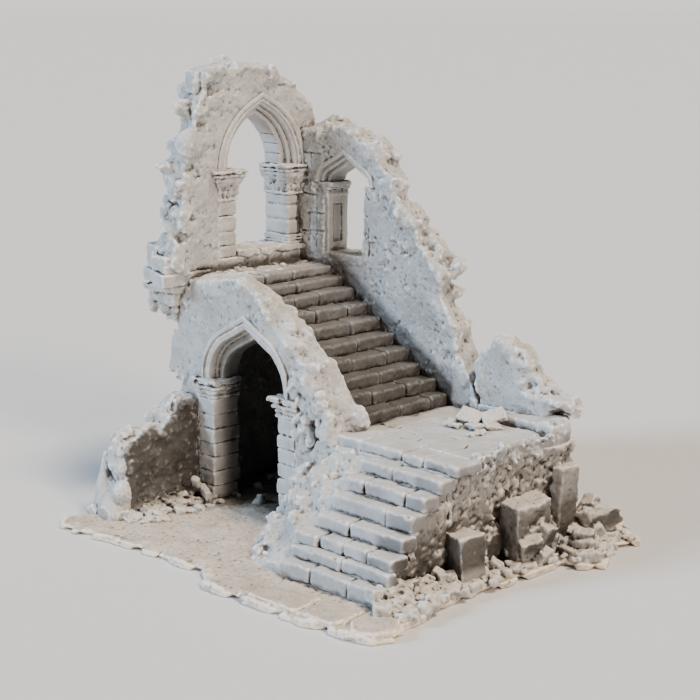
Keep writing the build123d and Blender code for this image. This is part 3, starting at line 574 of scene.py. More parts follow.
SOUTH_REST = [(10.4, 32.0), (10.4, SLAB_TOP - 0.4), (-60.0, SLAB_TOP - 0.4), (-58.0, 34.0), *SOUTH_LEFT,
              (-68.5, 71.6), (-57.5, 71.6)]


def south_extra(field, rng):
    """Torn masonry right of the arch, big rounded stones over a sunken bed, and the ragged left margin."""
    for u, v, wide, tall in ((-3.5, 45.5, 4.6, 5.5), (0.5, 39.0, 6.0, 6.0), (1.5, 31.5, 5.5, 5.0),
                             (4.5, 36.5, 4.0, 5.0)):
        c = np.array((u, SOUTH_FACE - 0.4, v))
        field.cut(ball(c, (wide, 2.0, tall)), 0.8, c, wide + 3)
    for _ in range(75):
        u, v = rng.uniform(-7.0, 9.0), rng.uniform(27.0, 52.0)
        if 27 + (u + 7) * 0.35 <= v <= 54 - (u + 2) * 1.25:
            c = np.array((u, SOUTH_FACE + rng.uniform(-0.4, 1.0), v))
            size = (rng.uniform(1.0, 2.2), rng.uniform(1.2, 2.2), rng.uniform(1.4, 3.0))
            field.add(turned(ball(c, size), c, (rng.uniform(-20, 20), rng.uniform(-50, 50), 0)), 0.5, c, 5)
    margin = along([(-58.0, 30.0), *SOUTH_LEFT], np.linspace(0, 1, 15))[0]
    for t in (0.12, 0.4, 0.7, 0.95):
        for u, v in margin:
            if rng.random() >= 0.45:
                c = np.array((u + rng.uniform(-0.4, 1.2), SOUTH_FACE + (SOUTH_BACK - SOUTH_FACE) * t,
                              v + rng.uniform(-1.2, 1.2)))
                r = rng.uniform(1.1, 2.1)
                field.add(rock(c, r * rng.uniform(0.8, 1.3, 3), rng), 0.9, c, 2 * r)


def build_south_wall():
    field = wall(1, SOUTH_FACE, SOUTH_BACK, SOUTH_FRONT, SOUTH_REAR, SOUTH_REST, 3, south_extra, 0.6,
                 (2.4, 4.2), 9.0, 1.2)

    def opening(x, y, z):
        head = arch_offset(x, z, DOOR)
        return np.where(z >= DOOR.spring, head - DOOR_RING, head - DOOR_JAMB) + 0.3 + 0 * y

    field.cut(opening)
    publish("south_wall_stone", field, "rough_wall", "south_wall", fine=0.06)


# End wall: it carries the tall window and is the highest part of the ruin
END_FRONT = [(-19.5, 76.0), (-21.6, 80.0), (-21.2, 83.5), (-19.5, 88.0), (-18.6, 92.8), (-17.3, 97.1),
             (-16.4, 100.5), (-15.8, 106.8), (-16.1, 112.2), (-15.2, 116.3), (-13.1, 120.9),
             (-11.8, 126.4), (-8.8, 131.6), (-8.4, 134.7), (-7.4, 138.8), (-3.3, 139.6), (4.3, 139.8),
             (10.3, 141.0), (22.1, 138.6), (32.4, 133.6), (34.7, 129.4), (39.3, 127.0), (43.2, 122.0),
             (44.5, 119.5)]
END_REAR = [(-19.0, 76.0), (-18.6, 80.0), (-18.2, 85.0), (-16.0, 90.7), (-16.3, 93.0), (-13.0, 96.0),
            (-15.0, 102.7), (-15.6, 108.0), (-14.2, 112.2), (-11.3, 114.3), (-7.5, 117.6),
            (-7.4, 121.5), (-5.6, 126.9), (-7.2, 131.1), (-3.8, 134.8), (-3.7, 138.8), (-1.0, 139.8),
            (4.3, 140.6), (10.3, 141.6), (22.1, 139.2), (32.4, 134.2), (34.7, 130.0), (39.3, 127.6),
            (43.5, 119.5)]
END_REST = [(44.5, 119.0), (NORTH_FACE, 118.8), (NORTH_FACE, SLAB_TOP - 0.4),
            (SOUTH_BACK, SLAB_TOP - 0.4), (SOUTH_BACK, LEDGE_TOP), (-19.5, LEDGE_TOP)]
END_KNOBS = [((-67.0, -15.8, 108.9), (3.0, 4.4, 1.7)), ((-66.0, -13.0, 106.6), (3.0, 4.0, 2.4)),
             ((-65.0, -11.5, 127.6), (3.0, 3.4, 2.4)), ((-64.0, -8.5, 124.8), (3.0, 3.0, 2.2)),
             ((-66.5, -16.0, 96.5), (2.4, 2.2, 1.6)), ((-66.0, -17.0, 91.0), (2.6, 2.4, 1.8)),
             ((-62.0, -14.5, 99.0), (3.0, 2.2, 2.0)), ((-60.5, -17.0, 94.5), (2.6, 2.0, 1.5)),
             ((-66.5, -16.6, 86.0), (2.2, 2.4, 1.5))]
END_HOLLOWS = [((-57.3, -3.6, 133.5), 2.4), ((-57.0, -9.0, 121.0), 2.2), ((-57.4, -12.5, 107.0), 2.6),
               ((-61.0, -15.0, 103.0), 2.4), ((-57.5, -14.5, 93.0), 2.2), ((-58.5, -17.5, 87.0), 2.0)]


def end_extra(field, rng):
    knobs(field, END_KNOBS)
    # a squared block is still whole at the upper left corner
    field.add(box((-66.5, -9.4, 132.0), (-59.5, -3.0, 139.4), 0.7), 0.4)
    for c, r in END_HOLLOWS:
        for _ in range(3):
            field.cut(rock(c + rng.uniform(-0.8, 0.8, 3), r * rng.uniform(0.5, 1.0, 3), rng), 1.0, c, 2 * r)


def build_end_wall():
    field = wall(0, END_FACE, END_BACK, END_FRONT, END_REAR, END_REST, 8, end_extra, knob=(1.6, 3.0),
                 spacing=8.0, chip=1.6)

    def opening(x, y, z):
        low = WINDOW.centre - WINDOW.half - WINDOW_JAMB
        body = np.maximum(np.maximum(low + 0.3 - y, y - NORTH_FACE - 3), WINDOW_FOOT - z)
        return np.where(z >= WINDOW.spring, arch_offset(y, z, WINDOW) - WINDOW_RING + 0.3, body) + 0 * x

    field.cut(opening)
    publish("end_wall_stone", field, "rough_wall", "end_wall", fine=0.06)


# North wall: it falls beside the upper flight and carries the small window
NORTH_FRONT = [(-57.5, 118.6), (-50.6, 118.8), (-43.9, 119.4), (-36.9, 119.8), (-32.2, 117.6),
               (-27.6, 114.6), (-23.1, 111.8), (-18.5, 107.3), (-15.3, 102.8), (-11.7, 97.0),
               (-8.2, 93.8), (-5.1, 90.9), (-2.8, 85.0), (1.6, 81.2), (5.5, 76.3), (7.2, 68.9),
               (10.2, 62.9), (13.3, 55.4), (15.5, 50.9), (19.0, 45.0), (22.3, 38.0), (22.6, 33.0)]
NORTH_REAR = [(-59.6, 119.6), (-49.8, 120.8), (-44.1, 122.0), (-39.9, 122.8), (-36.1, 119.8),
              (-32.9, 118.0), (-28.7, 115.2), (-25.5, 112.8), (-22.2, 112.2), (-21.8, 108.6),
              (-19.5, 103.8), (-17.2, 98.0), (-14.0, 95.0), (-10.5, 95.0), (-8.4, 92.6), (-6.5, 85.5),
              (-2.8, 83.8), (6.0, 78.8), (5.5, 77.2), (1.7, 75.0), (0.8, 66.7), (5.5, 61.0),
              (9.2, 60.0), (11.2, 53.5), (12.9, 51.8), (17.0, 46.0), (21.0, 38.0), (22.0, 33.0)]
NORTH_REST = [(22.8, 32.0), (10.6, 32.0), (10.6, SLAB_TOP - 0.4), (END_BACK, SLAB_TOP - 0.4),
              (END_BACK, 119.0)]
NORTH_KNOBS = [((-12.5, 42.5, 95.2), (2.6, 3.2, 2.2)), ((5.2, 42.0, 79.0), (3.0, 3.2, 2.0)),
               ((-21.5, 43.0, 112.0), (2.4, 2.4, 2.0)), ((9.0, 42.0, 60.8), (2.4, 3.2, 1.8)),
               ((-18.0, 41.0, 104.0), (2.4, 3.0, 2.2)), ((-5.0, 41.0, 89.0), (2.4, 3.0, 2.0))]
QUOIN_JOINTS = [[(-50.5, 80.0), (-50.5, 99.0)], [(-57.5, 84.5), (-46.3, 85.2)],
                [(-54.5, 90.8), (-46.3, 91.2)], [(-57.5, 97.5), (-50.5, 97.0)],
                [(-54.0, 84.5), (-54.4, 90.8)], [(-57.5, 104.5), (-51.0, 104.0)],
                [(-53.0, 104.2), (-53.4, 111.0)], [(-57.5, 111.2), (-48.5, 111.0)],
                [(-29.7, 85.0), (-25.5, 84.7)], [(-29.7, 92.2), (-26.5, 92.0)],
                [(-25.5, 79.0), (-25.6, 88.0)], [(-50.5, 101.2), (-47.4, 97.4)],
                [(-28.6, 101.2), (-25.8, 97.6)]]


def build_north_wall():
    field = wall(1, NORTH_FACE, NORTH_BACK, NORTH_FRONT, NORTH_REAR, NORTH_REST, 13,
                 lambda f, rng: knobs(f, NORTH_KNOBS), knob=(1.8, 3.2), spacing=8.0, chip=3.6)

    def opening(x, y, z):
        head = arch_offset(x, z, SMALL)
        return np.where(z >= SMALL.spring, head - SMALL_RING + 0.3,
                        np.maximum(head, SMALL_SILL - 2 - z)) + 0 * y

    field.cut(opening)
    for line in QUOIN_JOINTS:
        (u0, v0), (u1, v1) = np.min(line, 0), np.max(line, 0)
        field.cut(lambda x, y, z: np.maximum(line_distance(line, x, z) - 0.32 + 0 * y,
                                             y - NORTH_FACE - 0.65), 0.3,
                  ((u0 + u1) / 2, NORTH_FACE - 0.5, (v0 + v1) / 2),
                  ((u1 - u0) / 2 + 2, 2.5, (v1 - v0) / 2 + 2))
    publish("north_wall_stone", field, "rough_wall", "north_wall", fine=0.06)


STUB_FRONT = [(22.9, 38.0), (22.8, 50.0), (23.1, 55.0), (27.0, 57.6), (31.0, 58.9), (34.5, 59.0),
              (38.1, 57.0), (41.8, 49.0), (46.8, 44.6), (53.0, 44.0), (53.6, 41.8), (50.0, 38.8)]
STUB_REAR = [(23.6, 38.0), (23.8, 50.0), (24.5, 54.0), (28.0, 57.0), (32.0, 58.8), (35.0, 58.0),
             (38.6, 55.0), (42.5, 48.0), (47.5, 43.8), (52.5, 43.4), (53.2, 41.4), (50.0, 38.4)]


def stub_extra(field, rng):
    """The right half has lost its face: it falls back to a torn end that looks along the flight."""
    knobs(field, [((50.0, 38.0, 43.4), (5.6, 3.4, 1.8)), ((54.2, 37.6, 42.6), (2.6, 2.6, 1.6)),
                  ((38.0, 36.0, 51.0), (2.6, 2.6, 3.4)), ((43.0, 36.5, 45.0), (3.4, 2.6, 2.6))], 1.2)
    field.cut(prism([(36.5, 32.0), (60.0, 32.0), (60.0, 43.5), (50.0, 43.0), (41.0, 37.5)], 45.0, 64.0,
                    1.2), 1.4)
    for c, r in (((38.5, 36.6, 53.0), 2.4), ((42.0, 39.5, 48.5), 2.8), ((46.5, 41.5, 46.0), 2.6),
                 ((37.8, 36.6, 47.0), 2.0), ((44.0, 38.0, 45.0), 2.4)):
        field.add(ball(c, (r, r * 0.9, r * 0.7)), 1.0, c, 6)
    for c in ((40.5, 37.4, 50.8), (43.5, 39.0, 46.4)):
        field.cut(ball(c, (1.3, 1.6, 0.8)), 0.5, c, 4)


def build_north_stub():
    field = wall(1, NORTH_FACE, NORTH_BACK, STUB_FRONT, STUB_REAR, [(50.0, CORE_TOP), (23.0, CORE_TOP)], 17,
                 stub_extra, 0.85)
    publish("north_stub_stone", field, "rough_wall", "north_wall_stub", fine=0.06)


# ---- Arches and hoods ----
def moulding(axis, face, back, arch, foot, parts):
    """Sweeps rounded section parts round a pointed arch in a wall across axis, down to a foot level.
    Each part is (offset from the opening, to, back, front, rounding)."""
    reach = max(p[1] for p in parts) + 2
    away = 1 if axis == 0 else -1
    w0, w1 = sorted((back, face + away * max(p[3] for p in parts)))
    u, v = arch.half + reach, arch.spring + arch.rise + reach * 1.6

    def place(w, u, v):
        return (w, u, v) if axis == 0 else (u, w, v)

    field = Field(place(w0 - 1, arch.centre - u, foot - 0.5), place(w1 + 1, arch.centre + u, v), 0.27)

    def ring(x, y, z):
        u, w = (y, x) if axis == 0 else (x, y)
        r = arch_offset(u, z, arch)
        total = np.full(np.broadcast(x, y, z).shape, FAR, np.float32)
        for r0, r1, d0, d1, rounding in parts:
            side = np.abs(r - (r0 + r1) / 2) - (r1 - r0) / 2 + rounding
            end = np.abs(away * (w - face) - (d0 + d1) / 2) - (d1 - d0) / 2 + rounding
            total = np.minimum(total, rounded(side, end, rounding))
        return np.maximum(total, foot - z)

    field.add(ring)
    return worn(field, 0.05, 5.0, 2)


MOULDINGS = [
    ("door_arch_stones", "door_arch_ring", 1, SOUTH_FACE, SOUTH_BACK, DOOR, DOOR.spring,
     [(0.0, 1.9, -10.4, -3.4, 0.55), (1.8, 2.5, -10.4, -2.6, 0.3), (2.45, DOOR_RING, -10.4, 0.2, 0.45)]),
    ("door_hood_stones", "door_hood_mould", 1, SOUTH_FACE, SOUTH_FACE, DOOR, DOOR.spring - 0.5,
     [(3.3, 3.95, -0.8, 0.45, 0.25), (4.15, 5.3, -0.8, 1.1, 0.4)]),
    ("window_arch_stones", "window_arch_ring", 0, END_FACE, END_BACK, WINDOW, WINDOW.spring,
     [(0.0, 2.2, -12.0, -3.6, 0.7), (2.0, 3.5, -12.0, -1.9, 0.55), (3.4, WINDOW_RING, -12.0, -0.2, 0.5)]),
    ("window_hood_stones", "window_hood_mould", 0, END_FACE, END_FACE, WINDOW, WINDOW.spring - 0.4,
     [(4.6, 5.7, -0.8, 0.5, 0.35), (5.95, 7.9, -0.8, 1.0, 0.55)]),
    ("small_window_stones", "small_window_arch", 1, NORTH_FACE, NORTH_BACK, SMALL, SMALL.spring,
     [(0.0, 1.4, -10.5, -2.8, 0.4), (1.5, 2.8, -10.5, -1.0, 0.4), (2.95, 4.6, -10.5, 0.6, 0.45)])]


def build_arches():
    for name, node, *sweep in MOULDINGS:
        field = moulding(*sweep)
        if node == "window_arch_ring":
            # bed joints across the soffit, where the dressed reveal runs on above the capital
            for level in (110.6, 114.0, 117.2):
                field.cut(lambda x, y, z: np.maximum(np.abs(z - level) - 0.22,
                                                     arch_offset(y, z, WINDOW) - 0.5), 0.2,
                          ((END_BACK + END_FACE - 3.6) / 2, 26, level),
                          ((END_FACE - 3.6 - END_BACK) / 2, 6, 1))
        publish(name, field, "carved_trim", node, fine=0.02)


# ---- Dressed stone: jambs, capitals, shafts, sills ----
def tiers(field, low, high, spread, rows, blend=0.0):
    """Stacked mouldings round a block: rows of (reach, bottom, top, rounding). spread says how much
    of the reach is added at each of the sides x0, y0, x1 and y1."""
    for reach, bottom, top, rounding in rows:
        a, b, c, d = (share * reach for share in spread)
        field.add(box((low[0] - a, low[1] - b, low[2] + bottom), (high[0] + c, high[1] + d, low[2] + top),
                      rounding), blend)


def stacked(low, high, levels, rng, jitter):
    """A pier of dressed blocks between two corners: levels are the heights of the bed joints."""
    field = Field(np.array(low) - 2, np.array(high) + 2, 0.3)
    field.add(box(np.array(low) + (0.9, 0.9, -0.2), np.array(high) - (0.9, 0.9, 0), 0.3))
    levels = [low[2], *levels, high[2]]
    for a, b in zip(levels, levels[1:]):
        grow = rng.uniform(-jitter, jitter, 4)
        field.add(box((low[0] + grow[0], low[1] + grow[1], a + 0.14),
                      (high[0] + grow[2], high[1] + grow[3], b - 0.14), 0.6))
    return field


def build_door_sides():
    for side, name in ((-1, "left"), (1, "right")):
        rng = np.random.default_rng(30 + side)
        inner = DOOR.centre + side * DOOR.half
        x0, x1 = sorted((inner, inner + side * DOOR_JAMB))
        levels = [SLAB_TOP + 4.75 * n + rng.uniform(-0.3, 0.3) for n in range(1, 7)]
        jamb = stacked((x0, SOUTH_FACE - 0.5, SLAB_TOP), (x1, SOUTH_BACK, CAPITAL_FOOT), levels, rng, 0.28)
        publish(f"door_jamb_{name}_blocks", worn(jamb, 0.09), "carved_trim", f"door_jamb_{name}", fine=0.02)

        top = DOOR.spring
        capital = Field((x0 - 4, SOUTH_FACE - 5, CAPITAL_FOOT - 1), (x1 + 4, SOUTH_BACK + 1.5, top + 1.5),
                        0.28)
        capital.add(box((x0, SOUTH_FACE, CAPITAL_FOOT - 0.2), (x1, SOUTH_BACK, top), 0.3))
        for row in ((0.6, 0.0, 1.0, 0.45), (0.8, 1.5, 2.9, 0.6), (1.7, 3.0, 4.2, 0.5), (2.4, 4.8, 6.5, 0.5)):
            dx, dy = rng.uniform(-0.2, 0.2, 2)
            tiers(capital, (x0 + dx, SOUTH_FACE + dy, CAPITAL_FOOT), (x1 + dx, SOUTH_BACK - 0.2),
                  (1, 1, 1, 0), [row])
        for _ in range(6):
            c = (rng.uniform(x0 - 1, x1 + 1), SOUTH_FACE - rng.uniform(1.6, 2.8), rng.uniform(36.5, 42.0))
            capital.cut(pebble(c, (0.5, 1.1), (0.8, 1.6), rng), 0.5, c, 3)
        publish(f"door_capital_{name}_carving", worn(capital, 0.17, 3.5), "carved_trim",
                f"door_capital_{name}", fine=0.03)


def carve_bell(field, foot, x_range, y_range, inner, way, rng):
    """Two rows of worn leaves round a capital's bell, each a broad blade that curls out at its tip."""
    (x0, x1), (y0, y1) = x_range, y_range
    for row, (level, tall, out) in enumerate(((foot + 2.7, 1.6, 0.25), (foot + 5.0, 1.4, 0.8))):
        count = max(3, round((y1 - y0) / 2.4))
        leaves = []
        for n in range(count + 1):
            y = y0 + (y1 - y0) * (n + 0.5 * row) / count
            if y < y1 + 0.5:
                leaves.append(((x1 + out, y, level), (0.65, 1.0 + rng.uniform(-0.1, 0.1), tall), (0, 16, 0)))
        for n in range(5):
            x = x0 + (x1 - x0) * (n + 0.5 + 0.5 * row) / 5.5
            leaves.append(((x, inner + way * out, level), (1.0, 0.65, tall), (-16 * way, 0, 0)))
        for c, size, lean in leaves:
            field.add(turned(ball(c, size), c, lean), 0.5, c, 3)


def build_window_sides():
    rng = np.random.default_rng(41)
    pil_in = WINDOW.centre - WINDOW.half
    pil_out, column = pil_in - WINDOW_JAMB, WINDOW.centre + WINDOW.half
    foot = WINDOW.spring - 10.0
    pilaster = stacked((END_BACK, pil_out, WINDOW_FOOT), (END_FACE + 0.3, pil_in, foot), [82.6, 87.2, 92.4],
                       rng, 0.2)
    publish("window_pilaster_blocks", worn(pilaster), "carved_trim", "window_pilaster", fine=0.02)

    for name, y0, y1, inner, way in (("pilaster", pil_out, pil_in, pil_in, 1),
                                     ("column", column, NORTH_FACE, column, -1)):
        field = Field((END_BACK - 1, y0 - 5, foot - 1.5), (END_FACE + 4, y1 + 5, WINDOW.spring + 1.5), 0.28)
        field.add(box((END_BACK, y0, foot - 0.2), (END_FACE, y1, WINDOW.spring), 0.3))
        tiers(field, (END_BACK, y0, foot), (END_FACE, y1), (0, 1, 0.85, way > 0),
              ((0.9, 0.0, 0.9, 0.4), (0.2, 0.8, 3.0, 0.4), (0.5, 2.4, 4.6, 0.5), (0.9, 3.8, 5.8, 0.5),
               (1.4, 5.0, 6.8, 0.5), (2.0, 6.0, 7.4, 0.5), (2.5, 7.6, 8.6, 0.4), (3.4, 9.0, 10.0, 0.4)), 0.3)
        carve_bell(field, foot, (END_BACK, END_FACE), (y0, y1), inner, way, rng)
        publish(f"window_{name}_carving", worn(field, 0.16, 3.5), "carved_trim", f"window_{name}_capital",
                fine=0.03)

    base = Field((END_BACK - 1, column - 3, WINDOW_FOOT - 1.5),
                 (END_FACE + 4, NORTH_FACE + 1, WINDOW_FOOT + 7), 0.28)
    tiers(base, (END_BACK, column, WINDOW_FOOT), (END_FACE, NORTH_FACE), (0, 0.6, 0.8, 0),
          ((1.9, 0.0, 2.0, 0.5), (1.3, 1.9, 3.0, 0.5), (0.8, 2.9, 4.0, 0.5), (0.4, 3.8, 5.0, 0.4)))
    publish("window_column_foot", worn(base), "carved_trim", "window_column_base", fine=0.02)

    low = WINDOW_FOOT + 5.0
    shaft = Field((END_BACK - 1, column - 3, low - 2), (END_FACE + 3, NORTH_FACE + 2, foot + 2), 0.28)
    for a, b in ((low, 88.6), (88.6, 93.6), (93.6, foot)):
        shaft.add(box((END_BACK, column, a + 0.12), (END_FACE + 0.1, column + 4.5, b - 0.12), 0.9))
        shaft.add(box((END_BACK, column + 4.2, a + 0.12), (END_FACE - 1.4, NORTH_FACE, b - 0.12), 0.7))
    shaft.add(box((END_BACK, column + 0.4, low - 0.2), (END_FACE - 0.5, column + 4.2, foot + 0.2), 0.4))
    shaft.add(box((END_BACK, column + 4, low - 0.2), (END_FACE - 1.9, NORTH_FACE, foot + 0.2), 0.4))
    publish("window_column_drums", worn(shaft, 0.08, 6), "carved_trim", "window_column_shaft", fine=0.02)

    sill = Field((END_BACK - 3, pil_in - 2, WINDOW_FOOT - 2), (END_FACE + 4, column + 2, WINDOW_FOOT + 4),
                 0.3)
    for y0, y1, out, top in ((pil_in, 15.0, 1.4, 2.3), (15.2, column, 1.1, 2.1)):
        sill.add(box((END_BACK - 1, y0, WINDOW_FOOT - 0.2), (END_FACE + out, y1, WINDOW_FOOT + top), 0.6))
    publish("window_sill_stone", worn(sill, 0.2, 4), "carved_trim", "window_sill", fine=0.04)


def build_small_window_parts():
    low, high = SMALL.centre - SMALL.half, SMALL.centre + SMALL.half
    sill = Field((low - 1, NORTH_FACE - 2, SMALL_SILL - 4), (high + 1, NORTH_BACK + 3, SMALL_SILL + 2), 0.3)
    sill.add(box((low, NORTH_FACE - 0.5, SMALL_SILL - 2.4), (high, NORTH_BACK + 1, SMALL_SILL), 0.5))
    publish("small_window_sill_stone", worn(sill, 0.15, 4), "carved_trim", "small_window_sill", fine=0.05)

    panel = Field((low - 2, NORTH_FACE - 1, SMALL_SILL - 1), (low + 4, NORTH_BACK + 1, 98.5), 0.28)
    panel.add(box((low - 0.5, NORTH_FACE + 0.6, SMALL_SILL - 0.3), (low + 1.5, NORTH_BACK - 0.6, 97.2), 0.4))
    panel.cut(box((low + 0.7, NORTH_FACE + 2.9, 81.5), (low + 3.0, NORTH_BACK - 3.0, 94.5), 0.3), 0.2)
    panel.add(box((low + 0.2, NORTH_FACE + 3.5, 82.2), (low + 1.15, NORTH_BACK - 3.6, 93.8), 0.3))
    publish("small_window_panel_stone", worn(panel, 0.07, 4), "carved_trim", "small_window_panel", fine=0.03)

    impost = Field((low - 2, NORTH_FACE - 2, 96), (low + 5, NORTH_BACK + 2, 103), 0.28)
    tiers(impost, (low - 0.5, NORTH_FACE + 0.1, 0), (low, NORTH_BACK - 0.3), (0, 0, 1, 0),
          ((1.7, 96.9, 98.2, 0.4), (1.3, 98.0, 99.4, 0.4), (2.2, 99.3, 100.3, 0.4),
           (3.1, 100.2, 101.8, 0.45)))
    publish("small_window_impost_stone", worn(impost, 0.1, 4), "carved_trim", "small_window_impost",
            fine=0.04)


def build_ledge():
    slab_plan = [(END_FACE, -26.2), (-77.6, -18.2), (-77.6, -8.0), (-70.5, SOUTH_BACK),
                 (END_FACE, SOUTH_BACK)]
    field = Field((-80, -29, LEDGE_UNDER - 2), (END_FACE + 3, SOUTH_BACK + 2, LEDGE_TOP + 2), 0.33)
    field.add(prism(slab_plan, LEDGE_UNDER, LEDGE_TOP, 0.6))
    publish("ledge_slab_stone", worn(field, 0.1, 7), "carved_trim", "ledge_slab", fine=0.04)

    block_plan = [(-58.2, -24.6), (-76.4, -17.6), (-76.4, -9.5), (END_BACK, -9.5), (END_BACK, -19.5),
                  (-58.2, -19.5)]
    field = Field((-79, -27, LEDGE_TOP - 2), (-55, -7, LEDGE_TOP + 10), 0.33)
    field.add(prism(block_plan, LEDGE_TOP - 0.2, LEDGE_TOP + 8.0, 0.6))
    # a notch with a smaller stone still in it, towards the room
    field.cut(box((-66.5, -27.0, LEDGE_TOP + 2.6), (-55.0, -18.0, LEDGE_TOP + 12), 0.4), 0.3)
    field.add(box((-66.8, -23.4, LEDGE_TOP + 0.4), (-59.0, -19.6, LEDGE_TOP + 5.2), 0.7))
    publish("ledge_block_stone", worn(field, 0.1, 6), "carved_trim", "ledge_block", fine=0.04)

    # the corbel: rough stones stepping out under the slab
    rng = np.random.default_rng(55)
    field = Field((-80, -25, 54), (-56, -5, LEDGE_UNDER + 2), 0.36)
    field.add(box((-75.4, -18.0, 65.0), (-69.6, -9.0, LEDGE_UNDER), 0.8))
    for level, x0, x1, y0 in ((59.0, -67.5, -62.0, -17.4), (62.0, -69.8, -61.0, -18.2),
                              (65.0, -72.4, -60.0, -19.6), (68.2, -75.0, -59.2, -21.2)):
        stone = box((x0, y0, level), (x1, SOUTH_FACE + 0.6, min(level + 3.8, LEDGE_UNDER)), 0.8)
        field.add(turned(stone, ((x0 + x1) / 2, y0 + 2, level + 2), rng.uniform(-5, 5, 3)), 1.0)
    for _ in range(14):
        c = (rng.uniform(-73, -61), rng.uniform(-19.0, -17.0), rng.uniform(63, 70))
        field.add(pebble(c, (1.0, 2.0), (0.7, 1.2), rng), 0.9, c, 3)
    field.rough(lambda p: surface_height(p, 0.4, 56))
    publish("ledge_corbel_stone", field, "rubble", "ledge_corbel", fine=0.05)


# ---- Flights and landing ----
LOWER_JOINTS = ([33.0, 47.5], [41.5], [30.0, 39.5, 49.0], [37.0], [46.5], [33.0, 49.0], [39.0])
LOWER_ENDS = [(21.0, 59.3), (21.0, 59.3), (20.5, 59.0), (24.4, 57.6), (24.8, 56.8), (26.0, 56.8),
              (26.0, 57.8)]
UPPER_JOINTS = ([12.0, 26.0], [6.0, 21.0], [15.0], [8.5, 24.0], [17.0], [5.0, 20.0], [11.0, 25.0],
                [7.0, 18.0], [13.0])
TREAD_UNDER = 1.6
HALL = (SOUTH_BACK + 0.1, NORTH_FACE - 0.1)         # the upper flight's ends


def step_stones(node, across, run, rise, joints, ends, rng, seed, rounding):
    """One step: a row of worn stones between ends, along axis across. run is (nose, back) on the
    other axis and rise is (under, top)."""
    (nose, back), (under, top) = run, rise
    way = 1 if nose > back else -1

    def place(a, n, z):
        return (a, n, z) if across == 0 else (n, a, z)

    def row(a, b, front, low, high, gap):
        n0, n1 = sorted((front, back - way * TREAD_UNDER))
        return place(a + gap, n0, low), place(b - gap, n1, high)

    field = Field(place(ends[0] - 1, min(run) - 2, under - 2), place(ends[1] + 1, max(run) + 2, top + 2),
                  0.32)
    field.add(box(*row(*ends, nose - way * 1.1, under, top - 0.8, 0.6), 0.3))
    marks = [ends[0], *joints, ends[1]]
    for a, b in zip(marks, marks[1:]):
        front = nose + rng.uniform(-0.45, 0.45)
        low, high = row(a, b, front, under - 0.2, top + rng.uniform(-0.3, 0.12), 0.14)
        angles = place(0, rng.uniform(-0.9, 0.9), rng.uniform(-0.8, 0.8))
        field.add(turned(box(low, high, rounding), (np.array(low) + high) / 2, angles))
    field.rough(stone_height(0.11, 7, 3, seed, (0.1, 3.4, seed), (0.05, 1.6, seed)))
    # small chips out of the front edge
    for _ in range(4):
        c = place(rng.uniform(ends[0] + 1, ends[1] - 1), nose, top)
        r = rng.uniform(0.5, 1.0)
        field.cut(ball(c, (r, r, r * 0.8)), 0.4, c, 2)
    publish(f"{node}_stones", field, "worn_step", node, fine=0.02)


def build_flights():
    rng = np.random.default_rng(60)
    for flight, across, noses, foot, joints, ends, seed, rounding in (
            ("lower", 0, LOWER_NOSES, SLAB_TOP, LOWER_JOINTS, LOWER_ENDS, 1, 0.95),
            ("upper", 1, UPPER_NOSES, LANDING_TOP, UPPER_JOINTS, [HALL] * 9, 9, 0.9)):
        for n, (nose, back, cuts, span) in enumerate(zip(noses, noses[1:], joints, ends)):
            step_stones(f"{flight}_step_{n + 1}", across, (nose[0], back[0]), (foot, nose[1]), cuts, span,
                        rng, seed + n, rounding)
            foot = nose[1]
    step_stones("top_floor_edge", 1, (-41.8, -47.5), (71.3, TOP_FLOOR), [4.0, 16.0], HALL, rng, 20, 0.9)
    step_stones("landing_edge", 0, (SOUTH_FACE, SOUTH_FACE + 9.0), (CORE_TOP, LANDING_TOP), [37.5, 46.0],
                (FLIGHT_LEFT, FLIGHT_RIGHT), rng, 21, 1.0)
    build_paving()
    build_kerb()
    build_top_floor(rng)


def build_paving():
    front, edge = SOUTH_FACE + 0.3, SOUTH_FACE + 8.4
    plan = [(LANDING_LEFT, front), (FLIGHT_LEFT + 0.4, front), (FLIGHT_LEFT + 0.4, edge), (57.4, edge),
            (56.4, 0.9), (54.8, 17.0), (56.6, 28.2), (22.6, 28.2), (22.6, NORTH_FACE),
            (LANDING_LEFT, NORTH_FACE)]
    field = Field((8, -19, 30), (61, 37, 38), 0.36)
    field.add(prism(plan, CORE_TOP - 1.6, LANDING_TOP, 0.5))
    for line in ([(33.0, -8.0), (31.5, -1.0), (34.5, 6.0), (33.0, 10.0)],
                 [(45.5, -8.0), (46.5, 1.0), (44.0, 8.0)],
                 [(11.0, 3.0), (24.0, 2.2), (31.5, 0.2)], [(18.0, 3.0), (18.5, 15.0), (26.0, 17.0)],
                 [(34.5, 6.0), (44.5, 7.5), (54.5, 6.5)]):
        (x0, y0), (x1, y1) = np.min(line, 0), np.max(line, 0)
        field.cut(lambda x, y, z: np.maximum(line_distance(line, x, y) - 0.2, LANDING_TOP - 0.6 - z), 0.3,
                  ((x0 + x1) / 2, (y0 + y1) / 2, 35.5), ((x1 - x0) / 2 + 1.5, (y1 - y0) / 2 + 1.5, 2.5))

    def height(p):
        broken = ease(53.5, 55.2, p[:, 0] + 0.06 * np.maximum(p[:, 1], 0)) * (p[:, 1] > -8)
        return 0.14 * fbm(p, 9, 4, 33) + 0.1 * chips(p, 3.0, 33) + 1.7 * rubble_height(p, 1.0) * broken

    field.rough(height, 3.0)
    publish("landing_paving_stones", field, "worn_step", "landing_paving", fine=0.035)


